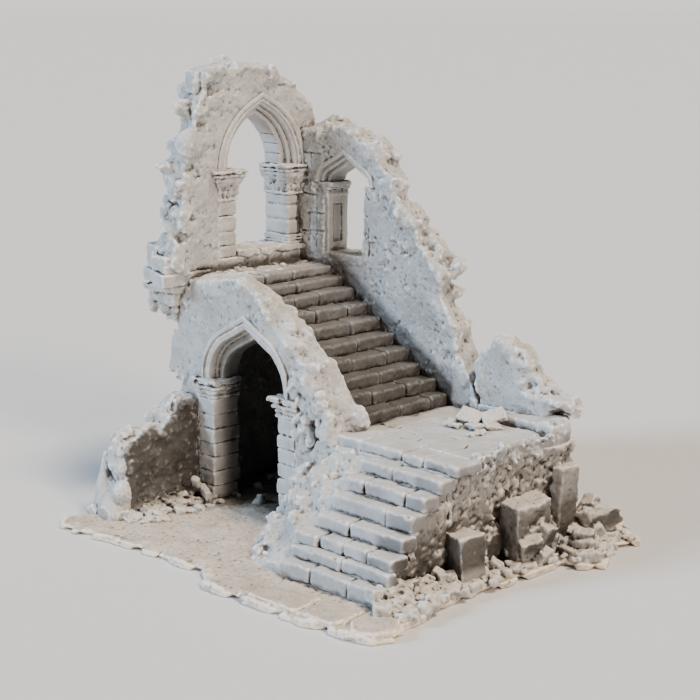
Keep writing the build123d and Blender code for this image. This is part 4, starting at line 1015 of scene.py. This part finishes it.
def build_kerb():
    field = Field((21, 26, 30), (60, 45, 41), 0.38)
    plan = [(22.8, 28.0), (38.0, 28.0), (57.0, 27.9), (57.8, 33.0), (56.0, 38.0), (52.5, 43.0), (23.0, 43.5)]
    field.add(prism(plan, CORE_TOP - 0.2, 38.4, 1.0))
    field.cut(box((21.0, 24.0, 36.4), (38.8, 33.5, 42.0), 0.5), 0.5)
    field.rough(lambda p: (0.15 * fbm(p, 9, 4, 34)
                           + (surface_height(p, 0.9, 34) + 0.2) * ease(48.0, 54.0, p[:, 0])))
    publish("stub_kerb_stone", field, "worn_step", "stub_kerb", fine=0.04)


def build_top_floor(rng):
    field = Field((END_FACE - 2, SOUTH_BACK - 2, 62), (-45, NORTH_FACE + 2, 78), 0.4)
    field.add(box((END_FACE - 0.2, HALL[0], 65.0), (-47.4, HALL[1], TOP_FLOOR), 0.4))
    for line in ([(-57.5, 8.0), (-47.0, 7.4)], [(-57.5, 19.5), (-47.0, 20.0)], [(-52.4, 8.0), (-52.0, 19.8)],
                 [(-53.5, 20.0), (-53.3, 34.0)]):
        field.cut(lambda x, y, z: np.maximum(line_distance(line, x, y) - 0.26, TOP_FLOOR - 0.7 - z), 0.3)
    field.rough(stone_height(0.2, 8, 4, 35, (0.25, 2.6, 35)))
    for _ in range(60):
        y = rng.uniform(-5.0, 9.0) if rng.random() < 0.7 else rng.uniform(-5, 33)
        c = (rng.uniform(-57.0, -44.0) if y < 3 else rng.uniform(-57.0, -52.0), y,
             TOP_FLOOR + rng.uniform(-0.2, 0.4))
        r = rng.uniform(0.5, 1.5)
        field.add(rock(c, (r, r * 0.9, r * 0.6), rng, turn=False), 0.0, c, 3)
    publish("top_floor_paving", field, "worn_step", "top_floor", fine=0.04)


# ---- Rubble masses under the flights ----
def rubble_height(points, amount=1.0, seed=40):
    """Loose stones set in mortar: broken heads with dark gaps between them."""
    big = lumps(points, 5.5, seed) * 0.25 + chips(points, 4.0, seed) * 0.4
    small = chips(points, 2.4, seed + 1) * 0.35 + chips(points, 1.5, seed) * 0.2
    mix = ease(-0.6, 0.8, fbm(points, 11, 2, seed + 2))
    return amount * (big * mix + small + 0.4 * fbm(points, 7, 4, seed) - 0.15)


def build_lower_core():
    front = SOUTH_FACE + 0.4
    plan = [(-44.0, SLAB_TOP - 0.3), (-43.8, 6.0), (-41.4, 9.6), (-36.2, 13.4), (-31.5, 17.7),
            (-26.4, 22.6), (-21.2, 27.0), (front, 31.6), (front, SLAB_TOP - 0.3)]
    field = Field((17, -47, 0), (61, -14, 34), 0.42)
    field.add(prism(plan, FLIGHT_LEFT - 0.4, FLIGHT_FACE, 0.8, axis=0))
    field.rough(lambda p: rubble_height(p) * ease(44.0, 52.0, p[:, 0]), 3.0)
    publish("lower_flight_rubble", field, "rubble", "lower_flight_core", fine=0.07)


def build_landing_core():
    rng = np.random.default_rng(70)
    front = SOUTH_FACE + 0.2
    field = Field((8, -19, 0), (62, 49, 40), 0.45)
    plan = [(LANDING_LEFT, front), (FLIGHT_FACE, front), (55.8, -6.0), (55.0, 6.0), (54.2, 18.0),
            (56.0, 27.0), (56.6, 34.0), (55.0, 40.0), (51.5, NORTH_BACK), (LANDING_LEFT, NORTH_BACK)]
    field.add(prism(plan, SLAB_TOP - 0.3, CORE_TOP + 0.2, 0.8))
    # the mass leans out towards its foot and the corner under the kerb
    foot = [(50, -12), (56.0, -10), (57.0, 2), (57, 14), (58.5, 24), (57, 36), (53, 44), (48, 40)]
    field.add(prism(foot, SLAB_TOP - 0.3, 12.0, 3.0), 6.0)
    field.add(ball((54.5, 33.0, 31.5), (4.2, 6.5, 5.5)), 2.0, (54, 33, 31.5), (6, 9, 7.5))

    def height(p):
        corner = p[:, 0] + 0.6 * np.maximum(p[:, 1] - 28, 0)
        return rubble_height(p) * np.maximum(ease(46.0, 52.0, corner), ease(42.0, 44.0, p[:, 1]))

    field.rough(height, 3.0)
    for _ in range(14):
        c = (56.0 + rng.uniform(-0.8, 0.2), rng.uniform(-12, 40), rng.uniform(4, 16))
        field.add(pebble(c, (1.2, 2.4), (0.7, 1.2), rng), 0.8, c, 4)
    room = box((LANDING_LEFT - 0.1, SOUTH_FACE + 0.1, 0), (62, 49, CORE_TOP + 0.2), 0.2)
    field.cut(lambda x, y, z: -room(x, y, z))
    publish("landing_rubble_core", field, "rubble", "landing_core", fine=0.07)


def build_vault():
    """The sloping vault under the upper flight."""
    line = [(LANDING_LEFT, LANDING_TOP - 0.4)]
    for (_, foot), (nose, _) in zip(UPPER_NOSES, UPPER_NOSES[1:]):
        line += [(nose + 0.8, line[-1][1]), (nose + 0.8, foot - 0.5)]
    line += [(-47.5, UPPER_NOSES[-2][1] - 0.4), (-47.5, 65.0), (-41.8, 65.0), (LANDING_LEFT, 27.0)]
    field = Field((-49, SOUTH_BACK - 2, 24), (12, NORTH_FACE + 2, 74), 0.5)
    field.add(prism(line, SOUTH_BACK + 0.05, NORTH_FACE - 0.05, 0.4, axis=1))

    def under(p):
        slope = (p[:, 2] - 27.0) - (LANDING_LEFT - p[:, 0]) * (38.0 / 52.4)
        return rubble_height(p, 0.7, 44) * (1 - ease(0.5, 2.5, slope))

    field.rough(under, 3.0)
    publish("upper_flight_vault", field, "rubble", "upper_flight_core", fine=0.06)


def build_left_stub():
    rng = np.random.default_rng(75)
    x0, x1 = -63.5, -52.2
    crest = [(-47.0, SLAB_TOP), (-46.0, 9.0), (-45.2, 14.0), (-44.3, 21.0), (-42.0, 26.0),
             (-36.0, 27.2), (-29.5, 27.2), (-27.5, 31.0), (-22.0, 34.6), (SOUTH_FACE + 0.2, 35.6)]
    outline = crest + [(SOUTH_FACE + 0.2, SLAB_TOP - 0.4), (-47.0, SLAB_TOP - 0.4)]
    field = Field((x0 - 4, -52, 0), (x1 + 4, SOUTH_FACE + 2, 40), 0.42)
    field.add(prism(outline, x0 + 0.4, x1 - 0.9, 1.0, axis=0))
    # courses of rough stones on both faces
    for face, out in ((x1 - 0.9, 1), (x0 + 0.6, -1)):
        level = SLAB_TOP - 0.5
        while level < 34:
            tall = rng.uniform(2.8, 4.2)
            y = SOUTH_FACE - rng.uniform(0, 4)
            while y > -47:
                wide = rng.uniform(3.0, 7.0)
                c = np.array([face - out * 0.6, y - wide / 2, level + tall / 2])
                if polygon(outline, c[1:2], c[2:])[0] < -0.8:
                    half = np.array([rng.uniform(1.0, 1.4), wide / 2 - 0.05, tall / 2 - 0.05])
                    field.add(brick(c, half, 0.8, rng.uniform(-3, 3, 3)), 0.9, c, half + 1.5)
                y -= wide
            level += tall
    for _ in range(18):
        y, z = along(crest, rng.uniform(0.2, 1))[0]
        c = (rng.uniform(x0 + 0.6, x1 - 0.6), y + rng.uniform(-0.5, 1), z - rng.uniform(0.4, 1.6))
        field.add(boulder(c, (1.6, 3.0), (0.7, 1.2), rng), 2.6, c, 6)
    field.rough(stone_height(0.3, 8, 3, 50, (0.35, 4.2, 50), (0.12, 2.2, 51)), 3.0)
    # a slab leaning on the outer corner, and the white spill at the wall's end
    c = (x0 + 0.5, -45.5, 12.0)
    field.add(brick(c, (1.2, 3.4, 9.0), 0.8, (-12, 6, 10)), 0.0, c, 12)
    for _ in range(30):
        t = rng.random()
        c = (-58.5 + rng.uniform(-4.5, 5.0) + 3 * t, -44.0 - 7.0 * t + rng.uniform(-1, 1),
             SLAB_TOP + (1 - t) * rng.uniform(0, 11))
        field.add(boulder(c, (1.6, 3.0), (0.8, 1.2), rng), 2.6, c, 6)
    for _ in range(22):
        c = (rng.uniform(-64, -52), rng.uniform(-53, -45), SLAB_TOP + 0.6)
        field.add(pebble(c, (0.8, 1.9), (0.7, 1.2), rng), 0.5, c, 4)
    publish("left_wall_stub_stone", field, "rough_wall", "left_wall_stub", fine=0.06)


# ---- Ground, bank and loose stones ----
SLAB_OUTLINE = [
    (-60.4, -66.0), (-51.5, -66.3), (-39.7, -62.5), (-29.7, -62.3), (-16.5, -61.3), (-0.5, -60.8),
    (4.3, -66.0), (10.9, -67.3), (23.7, -68.0), (29.3, -66.7), (39.1, -67.2), (49.7, -67.4),
    (54.5, -65.0), (62.0, -65.5), (72.5, -63.0), (75.0, -56.0), (70.5, -49.0), (70.5, -40.6),
    (68.0, -26.2), (69.0, -8.6), (69.5, 4.3), (69.3, 18.0), (74.0, 19.5), (79.8, 26.0), (75.5, 34.5),
    (71.0, 43.0), (74.5, 50.5), (71.0, 56.0), (62.0, 59.5), (50.0, 66.0), (36.0, 68.0), (10.0, 65.5),
    (-20.0, 67.5), (-48.0, 66.0), (-66.0, 62.0), (-76.0, 50.0), (-79.8, 30.0), (-77.0, 8.0),
    (-79.0, -12.0), (-75.0, -34.0), (-66.5, -46.0), (-67.5, -57.0)]


def on_slab(x, y, margin):
    return polygon(SLAB_OUTLINE, np.array([x]), np.array([y]))[0] < -margin


def scatter(field, rng, count, x_range, y_range, level, size, flat=0.65, keep=None, blend=0.0, sink=0.25):
    """Loose stones lying on a height function, where keep allows them."""
    for _ in range(count):
        x, y = rng.uniform(*x_range), rng.uniform(*y_range)
        if keep and not keep(x, y):
            continue
        r = rng.uniform(*size) * (1.0 if rng.random() < 0.8 else 1.4)
        c = np.array([x, y, level(x, y) + r * flat * (1 - 2 * sink)])
        radii = r * np.array([rng.uniform(0.8, 1.3), rng.uniform(0.7, 1.1), flat * rng.uniform(0.8, 1.2)])
        stone = rock(c, radii, rng, 9, turn=False)
        field.add(turned(stone, c, rng.uniform(-22, 22, 3)), blend, c, 2 * r + 1)


def ground_level(x, y):
    return SLAB_TOP


def build_ground():
    rng = np.random.default_rng(80)
    field = Field((-81, -70, -1), (81, 70, 6), 0.5)
    field.add(prism(SLAB_OUTLINE, 0.0, SLAB_TOP, 0.5))

    def height(p):
        x, y, z = p.T
        calm = stone_height(0.16, 12, 4, 60, (0.09, 2.2, 60), (0.07, 1.3, 65))(p)
        flags = (1 - gaps(p * (1, 1, 0.2), 13.0, 61)) * (y < -44)
        rim = (1 - ease(1.0, 5.0, -polygon(SLAB_OUTLINE, x, y))) * ease(-0.3, 0.9, z) * (z > 0.2)
        lobes = (0.9 * (lumps(p, 11.0, 62) - 0.6) - 1.5 * (1 - gaps(p * (1, 1, 0.15), 16.0, 62))
                 + 0.4 * chips(p, 4.0, 63))
        return ease(0.6, 1.8, z) * (calm - 0.25 * flags) + rim * lobes

    field.rough(height, 2.4)
    field.cut(lambda x, y, z: z + 0 * x + 0 * y)

    def yard(x, y):
        return on_slab(x, y, 1.5) and not (-66 < x < 60 and -16 < y < 46)

    scatter(field, rng, 260, (-78, 78), (46, 67), ground_level, (0.6, 2.0), keep=yard)
    scatter(field, rng, 190, (-79, -70), (-40, 60), ground_level, (0.6, 2.0), keep=yard)
    publish("ground_slab", field, "ground", "base_slab", fine=0.07, grain=1.3)

    flags = [[(61.0, -60.0), (59.5, -51.0), (69.5, -50.0), (74.0, -56.0), (72.0, -62.5), (65.5, -64.5)],
             [(46.0, -65.5), (45.0, -54.0), (58.5, -51.5), (60.0, -61.0), (58.0, -64.5)],
             [(27.0, -65.5), (26.5, -55.5), (44.0, -54.0), (45.0, -65.0)]]
    field = Field((24, -69, 0.5), (77, -47, 6), 0.38)
    for n, plan in enumerate(flags):
        field.add(prism(plan, SLAB_TOP - 1.2, SLAB_TOP + 0.8 - 0.12 * n, 0.55))
    field.rough(stone_height(0.14, 8, 4, 64, (0.1, 2.6, 64)))
    publish("front_flag_stones", field, "ground", "front_flagstones", fine=0.05)


# the bank beside the lower flight: its section, (x, height), at each y
BANK_SECTIONS = [
    (-47.5, [(8.0, SLAB_TOP), (12.0, 2.9), (16.0, 3.6), (19.0, 4.2), (20.5, 4.4)]),
    (-42.0, [(2.0, SLAB_TOP), (7.0, 4.4), (12.0, 6.4), (16.0, 8.2), (20.0, 8.6)]),
    (-37.0, [(-3.5, SLAB_TOP), (4.0, 6.5), (10.0, 10.2), (15.0, 12.8), (20.0, 13.2)]),
    (-32.0, [(-6.5, SLAB_TOP), (1.0, 7.5), (7.5, 13.0), (14.0, 17.5), (20.0, 17.6)]),
    (-27.0, [(-9.0, SLAB_TOP), (-1.0, 10.0), (6.0, 17.5), (13.0, 22.5), (20.0, 22.0)]),
    (-22.0, [(-9.5, SLAB_TOP), (-3.0, 14.0), (3.5, 22.5), (11.0, 27.0), (20.0, 26.5)]),
    (-16.2, [(-9.0, SLAB_TOP), (-2.0, 24.0), (3.0, 31.0), (10.0, 32.5), (20.0, 31.5)])]


def bank_level(x, y):
    tops = [np.interp(x, *zip(*section), left=0.0) for _, section in BANK_SECTIONS]
    level = np.zeros(np.broadcast(x, y).shape)
    for n, ((y0, _), (y1, _)) in enumerate(zip(BANK_SECTIONS, BANK_SECTIONS[1:])):
        share = np.clip((y - y0) / (y1 - y0), 0, 1)
        level = np.where((y >= y0) & (y <= y1), tops[n] + (tops[n + 1] - tops[n]) * share, level)
    return level


def build_bank():
    rng = np.random.default_rng(85)
    field = Field((-12, -50, 0), (27, -14, 37), 0.38)

    def heap(x, y, z):
        # next to the stair the bank stays under the inner corners of the steps
        under = np.minimum(bank_level(np.minimum(x, 20.0), y), np.interp(y, *zip(*LOWER_NOSES)) - 4.6)
        body = np.maximum((z - np.where(x > 19.0, under, bank_level(x, y))) * 0.62, SLAB_TOP - 0.4 - z)
        return np.maximum(np.maximum(body, y + 15.8), x - 26.0)

    field.add(heap)
    scatter(field, rng, 26, (-9, 17), (-47, -18), bank_level, (1.6, 3.4), 0.7,
            lambda x, y: bank_level(x, y) > 3.0, 2.2, 0.55)

    def folds(p):
        torn = ease(-0.4, 1.2, fbm(p, 13, 2, 68))
        big = 0.4 * fbm(p, 9, 3, 66) + (0.6 * chips(p, 5.5, 66) - 0.4 * (1 - gaps(p, 8.0, 69))) * torn
        return big + 0.14 * chips(p, 2.6, 67) + 0.1 * chips(p, 1.4, 67)

    field.rough(folds, 3.0)
    scatter(field, rng, 14, (-10, 12), (-50, -24), lambda x, y: max(bank_level(x, y), SLAB_TOP),
            (0.6, 1.6), 0.7, lambda x, y: 2.6 < bank_level(x + 3, y) < 12, 0.4, 0.3)
    publish("bank_rubble", field, "rough_wall", "stair_bank", fine=0.05)


def build_yard():
    rng = np.random.default_rng(90)
    field = Field((-55, -53, 0.5), (-34, -15, 18), 0.36)
    for x, y, r, h in ((-46.0, -30.0, 3.0, 3.4), (-47.5, -38.0, 2.6, 2.8), (-41.0, -33.5, 2.3, 2.4),
                       (-43.0, -41.0, 2.1, 2.2), (-45.5, -47.5, 2.3, 2.0), (-39.0, -27.0, 2.0, 2.2)):
        c = np.array([x, y, SLAB_TOP + h * 0.35])
        field.add(turned(rock(c, (r, r * 0.9, h * 0.7), rng, turn=False), c, rng.uniform(-15, 15, 3)), 0.0,
                  c, 6)

    def level(x, y):
        return SLAB_TOP + max(0.0, 4.5 - (x + 52.0) * 0.55) * ease(-50.0, -40.0, y) * 0.8

    def in_heap(x, y):
        return x < -38.5 - (y + 50) * 0.02 and rng.random() < 1.15 - (x + 52) / 17

    scatter(field, rng, 150, (-52, -37), (-50, -17), level, (0.6, 1.7), 0.6, in_heap, sink=0.35)
    for _ in range(90):
        x, y = rng.uniform(-52, -38), rng.uniform(-49, -17)
        if in_heap(x, y):
            half = (rng.uniform(1.0, 2.4), rng.uniform(0.8, 1.7), rng.uniform(0.35, 0.7))
            c = (x, y, level(x, y) + 0.7)
            field.add(brick(c, half, 0.2, (*rng.uniform(-28, 28, 2), rng.uniform(0, 180))), 0.0, c, 4)
    # two long slabs leaning by the door's left jamb, and a third beside them
    for c, half, turn in (((-46.5, -22.0, 7.6), (1.3, 5.2, 1.0), (-52, 10, 22)),
                          ((-43.4, -21.5, 5.6), (2.6, 1.0, 3.0), (14, 22, -12)),
                          ((-48.5, -26.0, 5.0), (1.6, 4.0, 0.9), (-30, -20, 48))):
        field.add(brick(c, half, 0.5, turn), 0.0, c, 7)
    publish("yard_stones", worn(field, 0.09, 3.5), "rubble", "yard_rubble", fine=0.06)


def block(field, plan, top, rounding, tilt):
    """A squared block standing on the slab."""
    c = (*np.mean(plan, 0), SLAB_TOP)
    field.add(turned(prism(plan, SLAB_TOP - 1.0, top, rounding), c, tilt))


def publish_block(name, node, field, noise):
    field.rough(lambda p: noise * stone_height(0.7, 5, 3, 71, (1.0, 3.6, 71), (0.6, 1.8, 72))(p))
    publish(name, field, "rubble", node, fine=0.05)


def build_fallen():
    rng = np.random.default_rng(95)
    field = Field((52, -26, 1), (69, -4, 20), 0.36)
    block(field, [(56.2, -9.0), (55.6, -16.4), (64.2, -19.4), (65.0, -9.8)], 16.2, 0.6, (2, -2, 0))
    publish_block("fallen_block_near_stone", "fallen_block_near", field, 0.13)

    field = Field((51, 0, 1), (74, 25, 26), 0.38)
    block(field, [(56.0, 6.0), (64.2, 4.4), (66.2, 12.0), (64.5, 19.0), (57.0, 20.5)], 20.6, 0.7, (3, 2, 0))
    # a bite out of the front corner, and flakes wedged against the foot
    bite = (68.2, 10.5, 15.5)
    field.cut(rock(bite, (3.6, 4.4, 4.6), rng, 6), 0.6, bite, 8)
    for c, half, turn in (((65.5, 8.0, 7.0), (2.0, 3.4, 4.4), (10, 24, -20)),
                          ((65.8, 14.0, 8.5), (1.8, 3.6, 5.0), (-14, 20, 10)),
                          ((68.0, 11.0, 4.8), (1.6, 2.6, 3.0), (8, 34, 16)),
                          ((64.8, 17.6, 6.2), (2.4, 2.4, 3.8), (-8, 12, 30))):
        field.add(brick(c, half, 0.6, turn), 0.2, c, 9)
    publish_block("fallen_block_large_stone", "fallen_block_large", field, 0.2)

    field = Field((53, 24, 1), (72, 52, 31), 0.38)
    block(field, [(56.5, 27.4), (60.2, 28.4), (60.8, 35.6), (57.5, 37.0)], 26.6, 0.8, (0, 3, 0))
    for c, radii in (((63.5, 41.5, 8.5), (5.4, 5.2, 7.4)), ((62.0, 43.0, 12.0), (3.6, 3.4, 3.4)),
                     ((66.0, 40.0, 5.5), (3.6, 3.4, 3.6)), ((61.0, 36.5, 5.5), (3.4, 3.6, 4.4))):
        field.add(rock(c, radii, rng, 9), 0.5, c, 9)
    publish_block("fallen_blocks_back_stone", "fallen_blocks_back", field, 0.18)

    field = Field((61, 17, 1), (81, 39, 13), 0.36)
    for plan, low, high, rounding in (
            ([(65.0, 22.0), (73.5, 20.5), (78.0, 26.0), (75.0, 32.5), (69.5, 36.0), (64.0, 34.0)],
             -1.0, 2.7, 0.8),
            ([(64.5, 24.0), (71.0, 23.0), (75.6, 27.5), (73.0, 32.0), (69.0, 35.5), (64.0, 33.5)],
             2.5, 4.8, 0.9),
            ([(64.2, 25.5), (69.5, 24.0), (73.4, 28.0), (71.0, 32.5), (64.2, 32.5)], 4.6, 6.9, 1.0)):
        field.add(prism(plan, SLAB_TOP + low, SLAB_TOP + high, rounding))
    field.rough(stone_height(0.3, 6, 3, 73, (0.4, 3.6, 73)))
    publish("layered_slab_stones", field, "rubble", "layered_slabs", fine=0.05)

    field = Field((25, 6, LANDING_TOP - 2), (43, 29, LANDING_TOP + 6), 0.32)
    for c, half, turn in (((31.5, 20.5, 38.2), (3.6, 2.8, 0.75), (30, 14, 20)),
                          ((37.5, 24.5, 38.6), (3.6, 2.8, 0.8), (26, -16, 50)),
                          ((36.0, 17.5, 36.6), (3.4, 1.8, 0.7), (8, -8, -25)),
                          ((30.0, 14.5, 36.4), (2.6, 1.5, 0.7), (-10, 6, 15)),
                          ((40.5, 20.5, 36.8), (2.8, 1.8, 0.7), (14, 14, 70)),
                          ((27.5, 18.0, 36.4), (2.0, 1.4, 0.7), (10, 5, 50)),
                          ((34.0, 26.0, 36.6), (2.6, 1.8, 0.8), (-12, 8, 5))):
        field.add(brick(c, half, 0.25, turn), 0.0, c, 7)
    scatter(field, rng, 40, (27, 42), (8, 27), lambda x, y: LANDING_TOP, (0.4, 1.1), 0.6)
    publish("landing_slab_pieces", worn(field, 0.08, 3.0), "rubble", "landing_rubble", fine=0.05)


def build_debris():
    """Gravel along the right side, and small stones in the passage."""
    rng = np.random.default_rng(99)
    field = Field((47, -66, 0.5), (78, 52, 14), 0.42)

    def side(x, y):
        return on_slab(x, y, 0.8) and (x > 58.0 or y > 44)

    def level(x, y):
        return SLAB_TOP + max(0.0, (64.0 - x)) * 0.5

    scatter(field, rng, 520, (55, 76), (-50, 50), level, (0.6, 2.1), 0.7, side, sink=0.3)
    scatter(field, rng, 120, (57, 72), (-50, -18), level, (1.0, 2.6), 0.75, side, sink=0.3)
    publish("side_gravel", worn(field, 0.1, 3.0), "rubble", fine=0.06)

    field = Field((-55, -14, 0.5), (9, 33, 9), 0.5)
    scatter(field, rng, 90, (-50, 6), (-9, 31), ground_level, (0.8, 2.6), 0.7)
    publish("passage_stones", worn(field, 0.2, 3.0), "rubble", fine=0.05)


# ---- Materials ----
class Nodes:
    """Short forms for the shader nodes of one material."""

    def __init__(self, name):
        self.material = bpy.data.materials.new(name)
        self.material.use_nodes = True
        self.tree = self.material.node_tree
        self.skin = self.tree.nodes["Principled BSDF"]

    def node(self, kind, values=(), **settings):
        """A node with its settings, and the (socket, value or output) pairs of its inputs."""
        n = self.tree.nodes.new("ShaderNode" + kind)
        for key, value in settings.items():
            setattr(n, key, value)
        for socket, value in values:
            if isinstance(value, bpy.types.NodeSocket):
                self.tree.links.new(value, n.inputs[socket])
            else:
                n.inputs[socket].default_value = (*value, 1) if isinstance(value, tuple) else value
        return n.outputs

    def noise(self, scale, detail=4.0, rough=0.6):
        values = [("Scale", scale), ("Detail", detail), ("Roughness", rough),
                  ("Vector", self.node("TexCoord")["Object"])]
        return self.node("TexNoise", values)["Fac"]

    def ramp(self, value, low, high, a=0.0, b=1.0):
        values = [("Value", value), ("From Min", low), ("From Max", high), ("To Min", a), ("To Max", b)]
        return self.node("MapRange", values, interpolation_type="SMOOTHSTEP")[0]

    def times(self, a, b, clamp=True):
        return self.node("Math", [(0, a), (1, b)], operation="MULTIPLY", use_clamp=clamp)[0]

    def plus(self, a, b, clamp=True):
        return self.node("Math", [(0, a), (1, b)], operation="ADD", use_clamp=clamp)[0]

    def mix(self, share, a, b):
        return self.node("Mix", [(0, share), (6, a), (7, b)], data_type="RGBA")[2]


def tinted(colour, *factors):
    """Colour with each channel multiplied by its factor, or all by the only one."""
    return tuple(min(1.0, c * f) for c, f in zip(colour, factors if len(factors) == 3 else factors * 3))


def stone_material(name, light, dark, dirt_and_shade, dirt_and_shade_gain, speck=0.5, dust_and_top_light=0.25, worn_edge_and_highlight=1.65):
    """Painted stone: mottled base, brown wash with painted shade in hollows and corners, pale worn edges
    with painted highlight, dust with painted top light on level tops.
    """
    m = Nodes(name)
    noise, ramp, times, plus, mix = m.noise, m.ramp, m.times, m.plus, m.mix
    m.skin.inputs["Specular IOR Level"].default_value = 0.22
    dip, hollow, corner_shade, grime_and_shade = (m.node("Attribute", attribute_name=key)["Fac"]
                                for key in ("dip", "hollow", "corner_shade", "grime_and_shade"))
    base = mix(ramp(noise(120, 5), 0.32, 0.68), dark, light)
    stain = tuple(0.55 * d + 0.45 * c for d, c in zip(dirt_and_shade, dark))
    base = mix(times(ramp(noise(45, 5, 0.65), 0.45, 0.75), 0.35), base, stain)
    # level tops paler and warmer: dust, and painted light from above
    upward = m.node("SeparateXYZ", [(0, m.node("NewGeometry")["Normal"])])["Z"]
    base = mix(times(ramp(upward, 0.45, 0.95), dust_and_top_light), base, tinted(light, 1.2, 1.12, 1.0))
    # near-black brown wash and painted shade, by position: the passage, the upper flight, the rubble foot
    base = mix(times(grime_and_shade, ramp(noise(150, 4), 0.2, 0.8, 0.86, 1.0)), base,
               tinted(dark, 0.084, 0.0776, 0.0704))
    # wash and painted shade: darker in tight creases, broad hollows and closed-in corners, broken up by
    # noise
    crease = plus(times(ramp(dip, 0.53, 0.85), 0.6), times(ramp(hollow, 0.54, 0.9), 0.5))
    corner = times(ramp(corner_shade, 0.12, 0.95), ramp(noise(260, 4), 0.25, 0.75, 0.6, 1.1))
    wash_and_shade = times(plus(crease, times(corner, 0.9)), dirt_and_shade_gain)
    base = mix(wash_and_shade, base, dirt_and_shade)
    # pale worn edges with a painted highlight, brighter than the light base colour, kept off the dark
    # positional mix
    edge = plus(times(ramp(dip, 0.40, 0.1), 0.25), times(ramp(hollow, 0.43, 0.12), 0.6))
    base = mix(times(edge, ramp(grime_and_shade, 0.0, 1.0, 1.0, 0.25)), base, tinted(light, worn_edge_and_highlight))
    base = mix(times(ramp(noise(1400, 3, 0.7), 0.62, 0.74), speck * 0.5), base, tinted(dark, 0.4))
    roughness = ramp(plus(noise(500, 3), times(wash_and_shade, 0.3)), 0.3, 1.0, 0.75, 0.95)
    height = plus(times(noise(900, 6, 0.65), 0.7), times(noise(2600, 3), 0.3), clamp=False)
    bump = m.node("Bump", [("Strength", 0.55), ("Distance", 0.0006), ("Height", height)])[0]
    for socket, value in (("Base Color", base), ("Roughness", roughness), ("Normal", bump)):
        m.tree.links.new(value, m.skin.inputs[socket])
    return m.material


def dowel_plastic():
    m = Nodes("dowel_plastic")
    m.skin.inputs["Roughness"].default_value = 0.6
    colour = m.mix(m.node("TexNoise", [("Scale", 800)])["Fac"], (0.10, 0.10, 0.105), (0.17, 0.17, 0.175))
    m.tree.links.new(colour, m.skin.inputs["Base Color"])
    return m.material


# per slot: light, dark, brown of the wash and painted shade, its gain, speck, dust with painted top light,
# worn edge with painted highlight
PAINTS = {
    "ground": ((0.60, 0.52, 0.43), (0.46, 0.395, 0.325), (0.07, 0.055, 0.042), 1.0, 0.5, 0.1),
    "rough_wall": ((0.56, 0.55, 0.53), (0.44, 0.425, 0.40), (0.075, 0.062, 0.05), 0.8),
    "rubble": ((0.58, 0.55, 0.51), (0.42, 0.39, 0.35), (0.06, 0.05, 0.04), 1.1, 0.5, 0.6, 1.25),
    "worn_step": ((0.53, 0.52, 0.51), (0.39, 0.38, 0.37), (0.045, 0.037, 0.03), 1.15, 0.35),
    "carved_trim": ((0.57, 0.555, 0.53), (0.45, 0.43, 0.40), (0.06, 0.05, 0.04), 1.1, 0.3)}

# ---- Build everything ----
for build in (build_south_wall, build_end_wall, build_north_wall, build_north_stub, build_arches,
              build_door_sides, build_window_sides, build_small_window_parts, build_ledge, build_flights,
              build_lower_core, build_landing_core, build_vault, build_left_stub, build_ground,
              build_bank, build_yard, build_fallen, build_debris):
    build()
make_objects({slot: stone_material(f"{slot}_paint", *paint) for slot, paint in PAINTS.items()})

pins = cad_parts["locating_pins"]
pins.data.materials.clear()
pins.data.materials.append(dowel_plastic())

# ---- Floor, lights and camera, in metres ----
rings = [(0.5, 0.0), (4.0, 0.0), (20.0, 0.0), (23.0, 0.1), (26.0, 0.4), (29.0, 0.9)]
spokes = 64
corners = [(r * cos(2 * pi * n / spokes), r * sin(2 * pi * n / spokes), z)
           for r, z in rings for n in range(spokes)]
faces = [(k + n, k + spokes + n, k + spokes + (n + 1) % spokes, k + (n + 1) % spokes)
         for k in range(0, spokes * (len(rings) - 1), spokes) for n in range(spokes)]
sheet = bpy.data.meshes.new("floor")
sheet.from_pydata(corners, [], [*faces, tuple(range(spokes))])
place_object("floor", sheet)
paper = Nodes("pale_floor")
paper.skin.inputs["Base Color"].default_value = (0.66, 0.655, 0.645, 1)
paper.skin.inputs["Roughness"].default_value = 0.9
sheet.materials.append(paper.material)

world = bpy.data.worlds.new("studio")
bpy.context.scene.world = world
world.use_nodes = True
background = world.node_tree.nodes["Background"]
background.inputs["Color"].default_value = (0.86, 0.88, 0.92, 1)
background.inputs["Strength"].default_value = 0.08

# soft distant lamps: direction from the model to the lamp, width in degrees, strength, colour
LAMPS = {"cool_key": ((-0.62, -1.05, 0.62), 16, 4.2, (0.56, 0.76, 1.0)),
         "warm_top": ((0.50, 0.15, 1.15), 14, 3.1, (1.0, 0.87, 0.72)),
         "warm_side": ((1.05, -0.15, 0.60), 16, 2.1, (1.0, 0.83, 0.68)),
         "front_fill": ((0.10, -1.00, 0.35), 50, 0.28, (0.66, 0.78, 1.0)),
         "back_fill": ((-0.70, 0.90, 0.70), 60, 0.3, (0.95, 0.96, 1.0))}
for name, (toward, spread, strength, colour) in LAMPS.items():
    data = bpy.data.lights.new(name, "SUN")
    data.angle, data.energy, data.color = radians(spread), strength, colour
    lamp = place_object(name, data)
    lamp.rotation_mode = "QUATERNION"
    lamp.rotation_quaternion = Vector(toward).to_track_quat("Z", "Y")

CAMERA_PLACE = (0.3378, -0.3373, 0.160)
YAW, PITCH, ROLL = 45.0, 12.2, 0.3
camera = place_object("camera", bpy.data.cameras.new("camera"))
camera.data.sensor_width, camera.data.lens = 36.0, 82.29
camera.data.clip_start, camera.data.clip_end = 0.01, 100.0
turn = (Matrix.Rotation(radians(YAW), 4, "Z") @ Matrix.Rotation(radians(90 - PITCH), 4, "X")
        @ Matrix.Rotation(radians(ROLL), 4, "Z"))
camera.matrix_world = Matrix.Translation(CAMERA_PLACE) @ turn
bpy.context.scene.camera = camera
